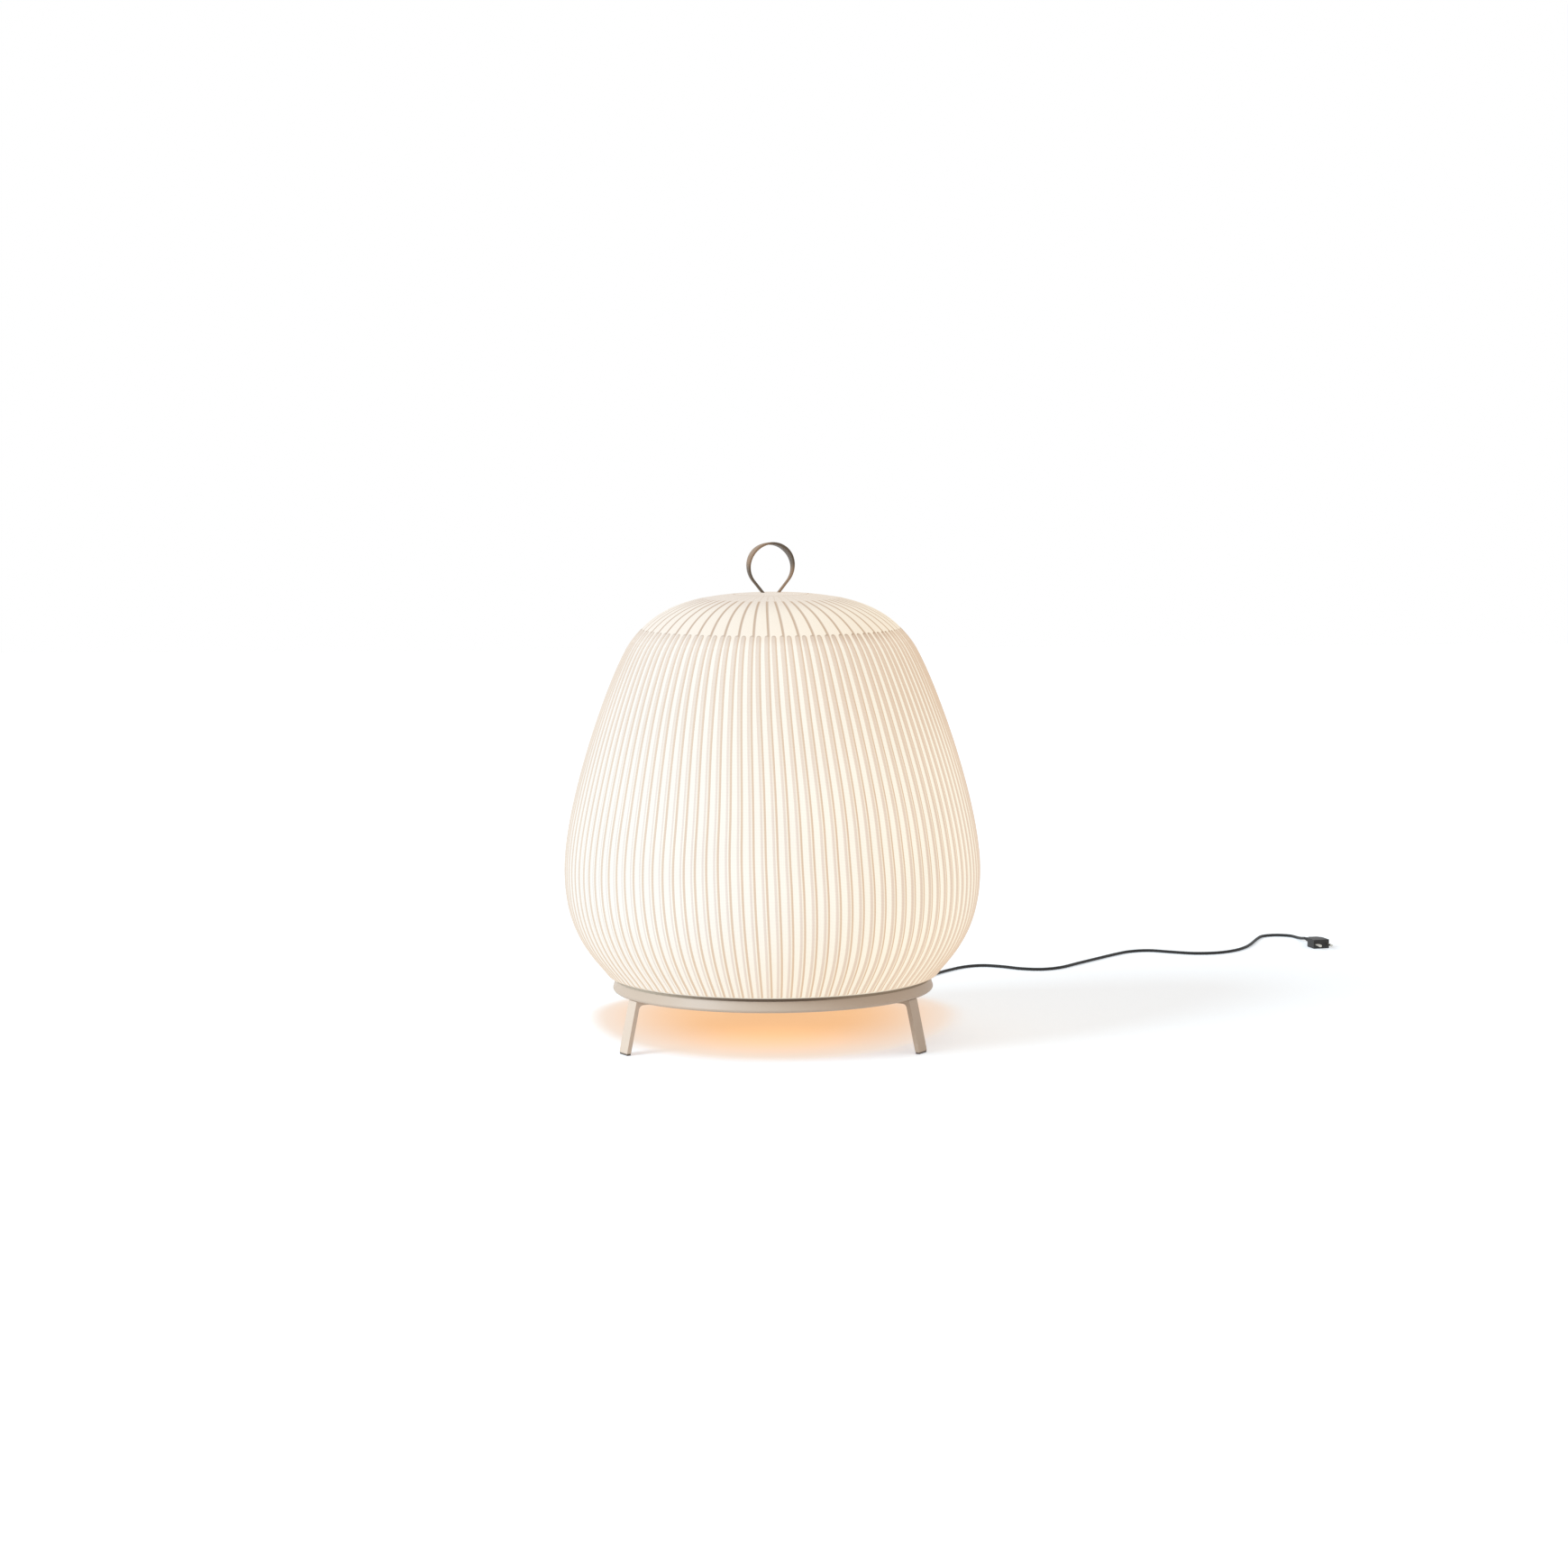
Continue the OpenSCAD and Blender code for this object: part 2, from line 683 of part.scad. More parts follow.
// The strap is a circle whose lower sides run straight together, down to a flat on the seat
foot_drop = loop_z - seat_z;
strap_lean = asin((loop_r + strap_t / 2) / norm([strap_foot, foot_drop])) - atan(strap_foot / foot_drop);
function strap_touch(r) = [r * cos(strap_lean), loop_z - r * sin(strap_lean)];
function strap_x(r, z) = strap_touch(r)[0] - (strap_touch(r)[1] - z) * tan(strap_lean);

module strap_outline(r, low) {
    touch = strap_touch(r);
    translate([0, loop_z]) circle(r = r, $fn = 96);
    polygon([
        [-touch[0], touch[1]], [-strap_x(r, low), low], [strap_x(r, low), low],
        [touch[0], touch[1]], [0, loop_z]
    ]);
}

module handle_loop() {
    color(loop_colour) turned(loop_turn) difference() {
        translate([0, strap_w / 2, 0]) rotate([90, 0, 0]) linear_extrude(strap_w) difference() {
            strap_outline(loop_r + strap_t / 2, seat_z);
            strap_outline(loop_r - strap_t / 2, seat_z + strap_t);
        }
        rod(handle_screw_r + screw_fit, seat_z - 1, seat_z + strap_t + 1);
    }
}

module handle_screw() {
    top = seat_z + strap_t;
    color(steel_colour) {
        rod(1.8 * handle_screw_r, top, top + 1.9);
        rod(handle_screw_r, stem_top_z - 12, top + 0.5);
    }
}

// Knit cover and the hoop that holds its hem
lip_steps = 6;
low_steps = 12;
side_steps = 14;
dome_steps = 18;
lip_points = [for (i = [0:lip_steps - 1]) on_curve(lip_curve, i / lip_steps)];
function outer_points() = concat(
    [[hem_r, hem_z]], lip_points,
    [for (i = [0:low_steps - 1]) on_curve(low_curve, i / low_steps)],
    [for (i = [0:side_steps - 1]) on_curve(side_curve, i / side_steps)],
    [for (i = [0:dome_steps]) on_curve(dome_curve, i / dome_steps)]
);
function inner_points() = concat(
    [for (i = [dome_steps:-1:0]) inside_curve(dome_curve, i / dome_steps, knit_t)],
    [for (i = [side_steps - 1:-1:0]) inside_curve(side_curve, i / side_steps, knit_t)],
    [for (i = [low_steps - 1:-1:0]) inside_curve(low_curve, i / low_steps, knit_t)],
    [[hem_r - knit_t, rim_z + 3.2], [hem_r - knit_t, hem_z]]
);

module knit_cover() {
    out_r = loop_r + strap_t / 2;
    in_r = loop_r - strap_t / 2;
    slot_in = strap_x(in_r, crest_z - knit_t - 1) - 0.6;
    slot_out = strap_x(out_r, crest_z + 1) + 0.6;
    color(knit_colour) difference() {
        rotate_extrude($fn = 96) polygon(concat(outer_points(), inner_points()));
        for (side = [0, 180])
            turned(loop_turn + side)
                translate([slot_in, -strap_w / 2 - 0.6, crest_z - knit_t - 2])
                    cube([slot_out - slot_in, strap_w + 1.2, knit_t + 4]);
    }
}

hoop_t = 2;

module cover_hoop() {
    color(steel_colour) difference() {
        rotate_extrude() polygon([
            [hoop_in_r, tray_top], [hoop_r, tray_top], [hoop_r, rim_z - 2],
            [hoop_r - hoop_t, rim_z - 2], [hoop_r - hoop_t, tray_top + hoop_t],
            [hoop_in_r, tray_top + hoop_t]
        ]);
        ring_of(6, hoop_screw_at, hoop_start)
            rod(small_screw_r + screw_fit, tray_top - 1, tray_top + hoop_t + 1);
    }
}

module hoop_screws() {
    top = tray_top + hoop_t;
    color(steel_colour) ring_of(6, hoop_screw_at, hoop_start) {
        rod(1.8 * small_screw_r, top, top + 1.8);
        rod(small_screw_r, tray_z + 0.2, top + 0.5);
    }
}

// Driver on the left of the tray's floor, and the wiring
lid_t = 2;
driver_screw_r = 1.25;
driver_edge = 6;

module driver_corners() {
    for (x = [-1, 1], y = [-1, 1])
        translate([
            x * (driver_w / 2 - driver_edge) - driver_at, y * (driver_len / 2 - driver_edge), 0
        ])
            children();
}

module driver_case() {
    w = driver_w - 2 * driver_wall;
    len = driver_len - 2 * driver_wall;
    color(white_colour) difference() {
        union() {
            difference() {
                translate([-driver_at - driver_w / 2, -driver_len / 2, tray_top])
                    cube([driver_w, driver_len, driver_h]);
                translate([-driver_at - w / 2, -len / 2, tray_top + driver_wall])
                    cube([w, len, driver_h]);
            }
            driver_corners() rod(3.5, tray_top + 1, tray_top + driver_h);
        }
        driver_corners()
            rod(driver_screw_r + thread_fit, tray_top + driver_h - 12, tray_top + driver_h + 1);
    }
}

module driver_board() {
    w = driver_w - 2 * driver_wall - 2 * slip_fit;
    len = driver_len - 4 * driver_edge - 1;
    low = tray_top + driver_wall;
    color(board_colour) {
        translate([-driver_at - w / 2, -len / 2, low]) cube([w, len, board_t]);
        translate([-driver_at - 10, -30, low + board_t - 0.1]) cube([20, 24, 12]);
        translate([-driver_at - 12, 6, 0]) rod(6, low + board_t - 0.1, low + 13);
        translate([-driver_at + 6, 10, low + board_t - 0.1]) cube([8, 16, 10]);
    }
}

module driver_lid() {
    low = tray_top + driver_h;
    color(white_colour) difference() {
        translate([-driver_at - driver_w / 2, -driver_len / 2, low])
            cube([driver_w, driver_len, lid_t]);
        driver_corners() rod(driver_screw_r + screw_fit, low - 1, low + lid_t + 1);
    }
}

module driver_screws() {
    top = tray_top + driver_h + lid_t;
    color(steel_colour) driver_corners() {
        rod(2 * driver_screw_r, top, top + 1.4);
        rod(driver_screw_r, top - 10, top + 0.5);
    }
}

block_gap = 8;
block_r = housing_flange_r + block_gap + block_w / 2;
block_face_r = block_r + block_w / 2;
block_along = [-gland_way[1], gland_way[0]];
block_end = block_r * gland_way + block_len / 2 * block_along;

module terminal_block() {
    color(white_colour) turned(gland_turn) translate([block_r, 0, tray_top]) difference() {
        translate([-block_w / 2, -block_len / 2, 0]) cube([block_w, block_len, block_h]);
        for (y = [-block_len / 4, 0, block_len / 4])
            translate([0, y, block_h - 6]) cylinder(r = 2, h = 7, $fn = 24);
    }
}

wire_z = tray_top + 6.8;
inner_top_z = tray_top + 4 + 2;
function on_way(r, z) = [r * gland_way[0], r * gland_way[1], z];

module inner_lead() {
    color(dark_colour) tube_along(smooth([
        on_way(gland_far, inner_top_z), on_way(gland_far, inner_top_z + cord_d),
        on_way(gland_far - 3, inner_top_z + 13), on_way(gland_far - 12, inner_top_z + 18),
        on_way(gland_far - 23, inner_top_z + 14), on_way(block_face_r + cord_d, wire_z),
        on_way(block_face_r, wire_z)
    ], 2), cord_d, 8, [gland_way[0], gland_way[1], 0]);
}

// The driver's lead sweeps round the light housing from the block's end to the case's end
module driver_lead() {
    from = block_end + lead_d * block_along;
    to = [-driver_at, driver_len / 2 + lead_d];
    from_turn = atan2(from[1], from[0]);
    to_turn = atan2(to[1], to[0]);
    color(white_colour) tube_along(smooth(concat(
        [[block_end[0], block_end[1], wire_z], [from[0], from[1], wire_z]],
        [
            for (t = [0.25, 0.5, 0.75])
                let(r = norm(from) + (norm(to) - norm(from)) * t + 9 * sin(180 * t))
                let(a = from_turn + (to_turn - from_turn) * t)
                [r * cos(a), r * sin(a), wire_z - 2]
        ],
        [[to[0], to[1], wire_z], [to[0], to[1] - lead_d, wire_z]]
    ), 3), lead_d, 8);
}

module column_lead() {
    face = driver_w / 2 - driver_at;
    strip_face = -column_w / 2 - board_t;
    over = housing_top + 5;
    lead_z = tray_top + driver_h - 6.2;
    color(white_colour) tube_along(smooth([
        [face, 0, lead_z], [face + lead_d, 0, lead_z], [face + driver_gap + 2, 0, lead_z + 6],
        [2 - housing_flange_r + 8, 0, over], [4 - housing_r, 0, over],
        [(-housing_r - tube_r) / 2, 0, over], [-tube_r, 0, over],
        [-foot_r - 9, 0, over + 1], [strip_face - 7, 0, over + 16],
        [strip_face - lead_d / 2 - 0.1, 0, column_z + strip_end - 6],
        [strip_face - lead_d / 2 - 0.1, 0, column_z + strip_end + 4]
    ], 2), lead_d, 8, [0, 1, 0]);
}

// Gland under the tray, with its nut inside and a tapered relief below
gland_flange_h = 5.7;
gland_nut_h = 4;

module cable_gland() {
    color(dark_colour) translate([gland_at[0], gland_at[1], 0]) {
        translate([0, 0, tray_z - gland_flange_h])
            cylinder(r = gland_hex_r, h = gland_flange_h, $fn = 6);
        rod(gland_r, tray_z - 0.5, inner_top_z);
    }
}

module gland_nut() {
    color(dark_colour) translate([gland_at[0], gland_at[1], 0])
        hex_nut(gland_hex_r, gland_r + thread_fit, tray_top, tray_top + gland_nut_h);
}

module cord_relief() {
    color(dark_colour) translate([gland_at[0], gland_at[1], relief_end_z])
        cylinder(r1 = cord_r + 1.2, r2 = cord_r + 3, h = relief_len, $fn = 32);
}

module cord_from_lamp() {
    color(dark_colour) tube_along(smooth(lamp_route, 2), cord_d, 8, [0, 1, 0]);
}

// Foot dimmer: two shells, a board with its switch, a sprung push button and two reliefs
seam_z = dimmer_h / 2;
button_top_z = dimmer_h + button_out;
button_lip_z = dimmer_h - dimmer_wall - 0.3;
lip_t = 1.8;
dimmer_floor = 2.2;
dimmer_board_z = 5;
switch_top_z = dimmer_board_z + board_t + 4;
dimmer_screw_r = 1.25;

module in_dimmer() {
    translate([dimmer_at[0], dimmer_at[1], 0]) children();
}

module rounded_slab(len, w, r, low, high) {
    translate([0, 0, low]) linear_extrude(high - low) union() {
        square([len - 2 * r, w], center = true);
        square([len, w - 2 * r], center = true);
        for (x = [-1, 1], y = [-1, 1])
            translate([x * (len / 2 - r), y * (w / 2 - r)]) circle(r = r, $fn = 48);
    }
}

module dimmer_corners() {
    for (x = [-1, 1], y = [-1, 1])
        translate([x * (dimmer_len / 2 - 10), y * (dimmer_w / 2 - 10), 0]) children();
}

module dimmer_shell(low, high, from, to) {
    difference() {
        rounded_slab(dimmer_len, dimmer_w, dimmer_corner, low, high);
        rounded_slab(
            dimmer_len - 2 * dimmer_wall, dimmer_w - 2 * dimmer_wall,
            dimmer_corner - dimmer_wall, from, to
        );
    }
}

module dimmer_base() {
    color(dark_colour) in_dimmer() difference() {
        union() {
            dimmer_shell(0, seam_z, dimmer_floor, seam_z + 1);
            dimmer_corners() rod(3.6, dimmer_floor - 1, seam_z);
            for (x = [-22, 22]) translate([x, 0, 0]) rod(3, dimmer_floor - 1, dimmer_board_z);
        }
        dimmer_corners() {
            rod(dimmer_screw_r + screw_fit, -1, seam_z + 1);
            rod(2 * dimmer_screw_r + screw_fit, -1, 2);
        }
    }
}

module dimmer_top() {
    inner = dimmer_h - dimmer_wall;
    color(dark_colour) in_dimmer() difference() {
        union() {
            dimmer_shell(seam_z, dimmer_h, seam_z - 1, inner);
            dimmer_corners() rod(3.6, seam_z, inner + 1);
        }
        dimmer_corners() rod(dimmer_screw_r + thread_fit, seam_z - 1, inner - 1.5);
        rod(button_r + button_gap, seam_z, dimmer_h + 1);
    }
}

module dimmer_screws() {
    color(steel_colour) in_dimmer() dimmer_corners() {
        rod(2 * dimmer_screw_r, 0.6, 2);
        rod(dimmer_screw_r, 1.5, dimmer_h - dimmer_wall - 2.5);
    }
}

module dimmer_board() {
    len = dimmer_len - 34;
    w = dimmer_w - 2 * dimmer_wall - 2;
    color(board_colour) in_dimmer() {
        translate([-len / 2, -w / 2, dimmer_board_z]) cube([len, w, board_t]);
        translate([-3.5, -3.5, dimmer_board_z + board_t - 0.1])
            cube([7, 7, switch_top_z - dimmer_board_z - board_t + 0.1]);
    }
}

spring_r = 8;
spring_t = 1.2;

module button_spring() {
    color(steel_colour) in_dimmer() difference() {
        rod(spring_r, dimmer_board_z + board_t, button_lip_z - lip_t);
        rod(spring_r - spring_t, dimmer_board_z, button_lip_z);
    }
}

module dimmer_button() {
    low = button_lip_z - lip_t;
    stem_low = switch_top_z + button_travel + 0.3;
    color(dark_colour) in_dimmer() {
        rod(button_r, low, button_top_z);
        rod(button_r + 1.6, low, button_lip_z);
        if (stem_low < low) rod(2.5, stem_low, low + 0.5);
    }
}

module dimmer_reliefs() {
    big = min(entry_z - 0.5, cord_r + 3.4);
    color(dark_colour) in_dimmer() for (side = [-1, 1])
        translate([side * dimmer_len / 2, 0, entry_z]) rotate([0, side * 90, 0])
            cylinder(r1 = big, r2 = cord_r + 1.2, h = dimmer_relief, $fn = 32);
}

module cord_link() {
    color(dark_colour) tube_along(smooth(link_route, 2), cord_d, 8);
}

module cord_coil() {
    color(dark_colour) tube_along(coil_line, cord_d, 6);
}

// Two ties go right round the bundle of turns
module coil_ties() {
    room = 0.4;
    in_r = coil_out_r - coil_pitch * coil_angle / 720 - cord_r - room;
    out_r = coil_out_r + cord_r + room;
    top = coil_low_z + coil_pitch + cord_r + room;
    color(dark_colour) for (a = [60, 180])
        turned(a, [coil_at[0], coil_at[1], 0]) translate([0, tie_w / 2, 0]) rotate([90, 0, 0])
            linear_extrude(tie_w) difference() {
                translate([in_r - tie_t, 0])
                    square([out_r - in_r + 2 * tie_t, top + tie_t]);
                translate([in_r, tie_t]) square([out_r - in_r, top - tie_t]);
            }
}

module cord_to_plug() {
    color(dark_colour) tube_along(smooth(floor_route, 2), cord_d, 8);
}

// Plug, lying on the floor at the end of the cord
module in_plug() {
    turned(plug_turn, [plug_at[0], plug_at[1], 0]) children();
}

module plug_relief() {
    color(dark_colour) in_plug() translate([0, 0, plug_z]) rotate([0, 90, 0])
        cylinder(r1 = cord_r + 0.8, r2 = cord_r + 2.6, h = plug_relief_len, $fn = 32);
}

pin_root_r = pin_r - 0.25;
pin_depth = 10;
pin_step = 0.1;

module plug_pins_at(r, from, to) {
    in_plug() for (y = [-1, 1])
        translate([plug_relief_len + from, y * pin_pitch / 2, plug_z]) rotate([0, 90, 0])
            cylinder(r = r, h = to - from, $fn = 32);
}

module plug_body() {
    neck = 7;
    color(dark_colour) difference() {
        in_plug() translate([plug_relief_len, 0, 0]) linear_extrude(plug_h) polygon([
            [0, -neck], [10, -plug_w / 2], [plug_len, -plug_w / 2],
            [plug_len, plug_w / 2], [10, plug_w / 2], [0, neck]
        ]);
        plug_pins_at(pin_root_r + thread_fit, plug_len - pin_depth, plug_len + 1);
    }
}

// Each pin has a thinner root in the body, and its full width starts just clear of the face
module plug_pins() {
    color(steel_colour) {
        plug_pins_at(pin_root_r, plug_len - pin_depth + seat_fit, plug_len + 1);
        plug_pins_at(pin_r, plug_len + pin_step, plug_len + pin_len);
    }
}

base_tray();
leg_front_left();
leg_front_right();
leg_rear();
foot_pad_front_left();
foot_pad_front_right();
foot_pad_rear();
leg_screws();
leg_nuts();
glow_diffuser();
glow_reflector();
glow_board();
light_housing();
housing_screws();
stem_flange();
flange_screws();
flange_nuts();
stem_tube();
light_column();
light_strips();
light_tube();
stem_plug();
crown_disc();
cover_hoop();
hoop_screws();
knit_cover();
handle_loop();
handle_screw();
driver_case();
driver_board();
driver_lid();
driver_screws();
terminal_block();
inner_lead();
driver_lead();
column_lead();
cable_gland();
gland_nut();
cord_relief();
cord_from_lamp();
dimmer_base();
dimmer_board();
button_spring();
dimmer_button();
dimmer_top();
dimmer_screws();
dimmer_reliefs();
cord_link();
cord_coil();
coil_ties();
cord_to_plug();
plug_relief();
plug_body();
plug_pins();
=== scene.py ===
import json
import math
from itertools import accumulate

import bmesh
import bpy
import numpy as np
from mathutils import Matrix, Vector


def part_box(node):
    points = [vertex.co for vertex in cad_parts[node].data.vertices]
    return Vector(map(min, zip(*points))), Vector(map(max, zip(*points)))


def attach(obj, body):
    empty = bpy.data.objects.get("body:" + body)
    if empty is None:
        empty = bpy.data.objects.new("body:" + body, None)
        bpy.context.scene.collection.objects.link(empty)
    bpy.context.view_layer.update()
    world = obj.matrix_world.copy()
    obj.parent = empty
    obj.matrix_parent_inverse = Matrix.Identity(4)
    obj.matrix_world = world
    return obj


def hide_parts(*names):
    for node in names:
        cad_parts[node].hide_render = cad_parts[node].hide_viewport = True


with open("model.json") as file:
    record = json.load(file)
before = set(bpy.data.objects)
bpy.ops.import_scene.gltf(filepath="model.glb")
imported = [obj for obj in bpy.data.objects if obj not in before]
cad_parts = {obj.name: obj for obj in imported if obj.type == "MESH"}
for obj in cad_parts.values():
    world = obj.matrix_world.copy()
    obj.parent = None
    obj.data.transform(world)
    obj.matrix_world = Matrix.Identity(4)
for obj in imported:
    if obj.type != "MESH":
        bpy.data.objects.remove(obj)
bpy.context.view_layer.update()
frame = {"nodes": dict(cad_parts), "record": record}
mm = 0.001
fullTurn = 2 * math.pi


class Plug:  # a node's output socket, or a node tree alone; arithmetic on it adds Math nodes
    def __init__(self, tree, socket=None):
        self.tree, self.socket = tree, socket

    def node(self, kind, settings=None, values=None, out=0):
        made = self.tree.nodes.new(kind)
        for name, value in (settings or {}).items():
            setattr(made, name, value)
        for key, value in (values or {}).items():
            if isinstance(value, Plug):
                self.tree.links.new(value.socket, made.inputs[key])
            else:
                made.inputs[key].default_value = value
        return Plug(self.tree, made.outputs[out] if len(made.outputs) else None)

    def __getitem__(self, name):  # another output of the same node
        return Plug(self.tree, self.socket.node.outputs[name])

    def calc(self, operation, *values):
        return self.node("ShaderNodeMath", {"operation": operation}, dict(enumerate(values)))

    def __add__(self, other): return self.calc("ADD", self, other)
    def __sub__(self, other): return self.calc("SUBTRACT", self, other)
    def __rsub__(self, other): return self.calc("SUBTRACT", other, self)
    def __mul__(self, other): return self.calc("MULTIPLY", self, other)
    def __truediv__(self, other): return self.calc("DIVIDE", self, other)
    def __pow__(self, other): return self.calc("POWER", self, other)

    def size(self): return self.calc("ABSOLUTE", self)
    def part(self): return self.calc("FRACT", self)
    def floor(self): return self.calc("FLOOR", self)
    def sine(self): return self.calc("SINE", self)
    def cosine(self): return self.calc("COSINE", self)

    def ramp(self, low, high, start=0.0, end=1.0):  # eases from start to end between low and high
        settings = {"interpolation_type": "SMOOTHSTEP"}
        values = {0: self, 1: low, 2: high, 3: start, 4: end}
        return self.node("ShaderNodeMapRange", settings, values)

    def zone(self, low, high, start=0.0, end=1.0):  # the same along a length, in millimetres
        return self.ramp(low * mm, high * mm, start, end)

    def blend(self, share, first, second):  # share says how much of the second colour shows
        values = {0: share, 6: first, 7: second}
        return self.node("ShaderNodeMix", {"data_type": "RGBA"}, values, out=2)

    def mix(self, first, second):
        return self.blend(self, first, second)

    def vector(self, x=0.0, y=0.0, z=0.0):
        return self.node("ShaderNodeCombineXYZ", values={0: x, 1: y, 2: z})

    def split(self):
        made = self.node("ShaderNodeSeparateXYZ", values={0: self})
        return made["X"], made["Y"], made["Z"]

    def vectorCalc(self, operation, *values):
        return self.node("ShaderNodeVectorMath", {"operation": operation}, dict(enumerate(values)))

    def times(self, factor):  # a colour made stronger
        return self.node("ShaderNodeVectorMath", {"operation": "SCALE"}, {0: self, 3: factor})

    def tinted(self, colour):  # a colour times another, part by part
        return self.vectorCalc("MULTIPLY", self, colour)

    def less(self, other):  # a colour with another taken off, part by part, never below black
        return self.vectorCalc("MAXIMUM", self.vectorCalc("SUBTRACT", self, other), (0, 0, 0))

    def place(self): return self.node("ShaderNodeTexCoord")["Object"]
    def uv(self): return self.node("ShaderNodeUVMap", {"uv_map": "UVMap"})

    def noise(self, scale, detail=2.0):
        values = {"Vector": self, "Scale": scale, "Detail": detail, "Roughness": 0.5}
        return self.node("ShaderNodeTexNoise", values=values)

    def bump(self, strength, depth):  # depth in millimetres
        values = {"Height": self, "Strength": strength, "Distance": depth * mm}
        return self.node("ShaderNodeBump", values=values)


def tone(red, green, blue):  # a colour as it shows on the screen, 0 to 255
    parts = [c / 255 for c in (red, green, blue)]
    return (*(c / 12.92 if c <= 0.04045 else ((c + 0.055) / 1.055) ** 2.4 for c in parts), 1.0)


def scaled(colour, share):
    return (*(c * share for c in colour[:3]), 1.0)


def emptyGraph(owner):  # the cleared node tree of a material or a world
    owner.use_nodes = True
    owner.node_tree.nodes.clear()
    return Plug(owner.node_tree)


def material(name, describe):
    made = bpy.data.materials.new(name)
    graph = emptyGraph(made)
    shader = graph.node("ShaderNodeBsdfPrincipled", values=describe(graph))
    graph.node("ShaderNodeOutputMaterial", values={"Surface": shader})
    return made


def addObject(name, data):
    made = bpy.data.objects.new(name, data)
    bpy.context.scene.collection.objects.link(made)
    return made


def addPiece(name, mesh, surface, slotName, *replaced):  # a grown mesh has its surface already
    made = addObject(name, mesh)
    if surface:
        mesh.materials.clear()
        mesh.materials.append(surface)
    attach(made, "root")
    if replaced:
        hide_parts(*replaced)
    return made


def ringMesh(name, rings, acrossUv, alongUv, flat=None, joined=False):
    # Closed rings of points joined by quads, capped at both ends or joined end to start.
    # The quads of the column named flat are shaded flat.
    mesh = bpy.data.meshes.new(name)
    form = bmesh.new()
    uvs = form.loops.layers.uv.new("UVMap")
    rows = [[form.verts.new(point) for point in ring] for ring in rings]
    count = len(rows[0])
    aboves = rows[1:] + rows[:1] if joined else rows[1:]
    for k, (row, above) in enumerate(zip(rows, aboves)):
        for n in range(count):
            m = (n + 1) % count
            face = form.faces.new((row[n], row[m], above[m], above[n]))
            face.smooth = n != flat
            corners = ((n, k), (n + 1, k), (n + 1, k + 1), (n, k + 1))
            for loop, (a, b) in zip(face.loops, corners):
                loop[uvs].uv = (acrossUv[a], alongUv[b])
    if not joined:
        form.faces.new(reversed(rows[0]))
        form.faces.new(rows[-1])
    bmesh.ops.recalc_face_normals(form, faces=form.faces)
    form.to_mesh(mesh)
    form.free()
    return mesh


# Camera: a long lens, a little above the lamp, level to within a third of a degree, in metres
view = {
    "aim": (0.01657, 0.0, 0.3526), "distance": 5.166, "down": 5.88, "roll": -0.32,
    "lens": 86.9, "sensor": 36.0, "clip": (0.05, 100),
}


def addCamera():
    data = bpy.data.cameras.new("camera")
    data.lens, data.sensor_width = view["lens"], view["sensor"]
    data.clip_start, data.clip_end = view["clip"]
    made = addObject("camera", data)
    down = math.radians(view["down"])
    back = Vector((0, -math.cos(down), math.sin(down)))
    made.location = Vector(view["aim"]) + back * view["distance"]
    made.rotation_euler = (math.pi / 2 - down, 0, 0)
    made.rotation_euler.rotate_axis("Z", math.radians(view["roll"]))
    bpy.context.scene.camera = made


addCamera()
print("camera done")


# Cords: routes as those of the solids, in millimetres; a point without a height is on the floor
cord = {
    "diameter": 4.6 * mm, "sides": 14, "perSpan": 4, "linkPerSpan": 6,
    "dimmerOut": (76, 352, 7), "plugStart": (855, 880, 7), "plugTurn": -75,
}
coil = {
    "middle": (104 * mm, 383.3125 * mm), "radius": 31.3125 * mm, "pitch": 5.1 * mm,
    "angle": 1500, "low": 3.2 * mm, "stepsPerTurn": 32,
}
lampRoute = [
    (-50, 180, 46), (-50, 180, 36.8), (-51, 184, 26), (-53, 194, 15), (-59, 214, 7.5),
    (-71, 238, 3.4), (-86, 258), (-100, 281), (-105, 307), (-100, 330, 3.4),
    (-87, 345, 5.6), (-69.2, 352, 7), (-60, 352, 7),
]
floorRoute = [
    (155, 410, 4), (176, 447), (201, 490), (228, 536), (250, 575), (271, 609), (295, 638),
    (323, 649), (352, 636), (380, 614), (411, 607), (441, 625), (472, 669), (503, 713),
    (534, 756), (561, 787), (593, 797), (626, 780), (661, 764), (697, 768), (726, 790),
    (747, 822), (761, 857), (772, 894), (782, 926), (793, 950), (815, 960), (837, 951),
    (847, 929), (850, 908, 4.4),
]
braid = {
    "pitch": 3.2 * mm, "strands": 4, "crossing": (-0.7, 0.7), "depth": 0.25,
    "fleckScale": 900, "fleckShare": 0.3, "dark": tone(17, 16, 16), "pale": tone(44, 42, 41),
}


def metres(*points):
    onFloor = cord["diameter"] / 2 / mm
    return [Vector((p[0], p[1], p[2] if len(p) > 2 else onFloor)) * mm for p in points]


def heading(degrees):  # a level unit vector
    turn = math.radians(degrees)
    return Vector((math.cos(turn), math.sin(turn), 0))


def smoothLine(points, per):  # straight between the first two points and the last two
    line = [points[0]]
    for a, b, c, d in zip(points, points[1:], points[2:], points[3:]):
        for k in range(per):
            t = k / per
            line.append(0.5 * (
                2 * b + (c - a) * t + (2 * a - 5 * b + 4 * c - d) * t ** 2
                + (3 * b - a - 3 * c + d) * t ** 3
            ))
    return line + points[-2:]


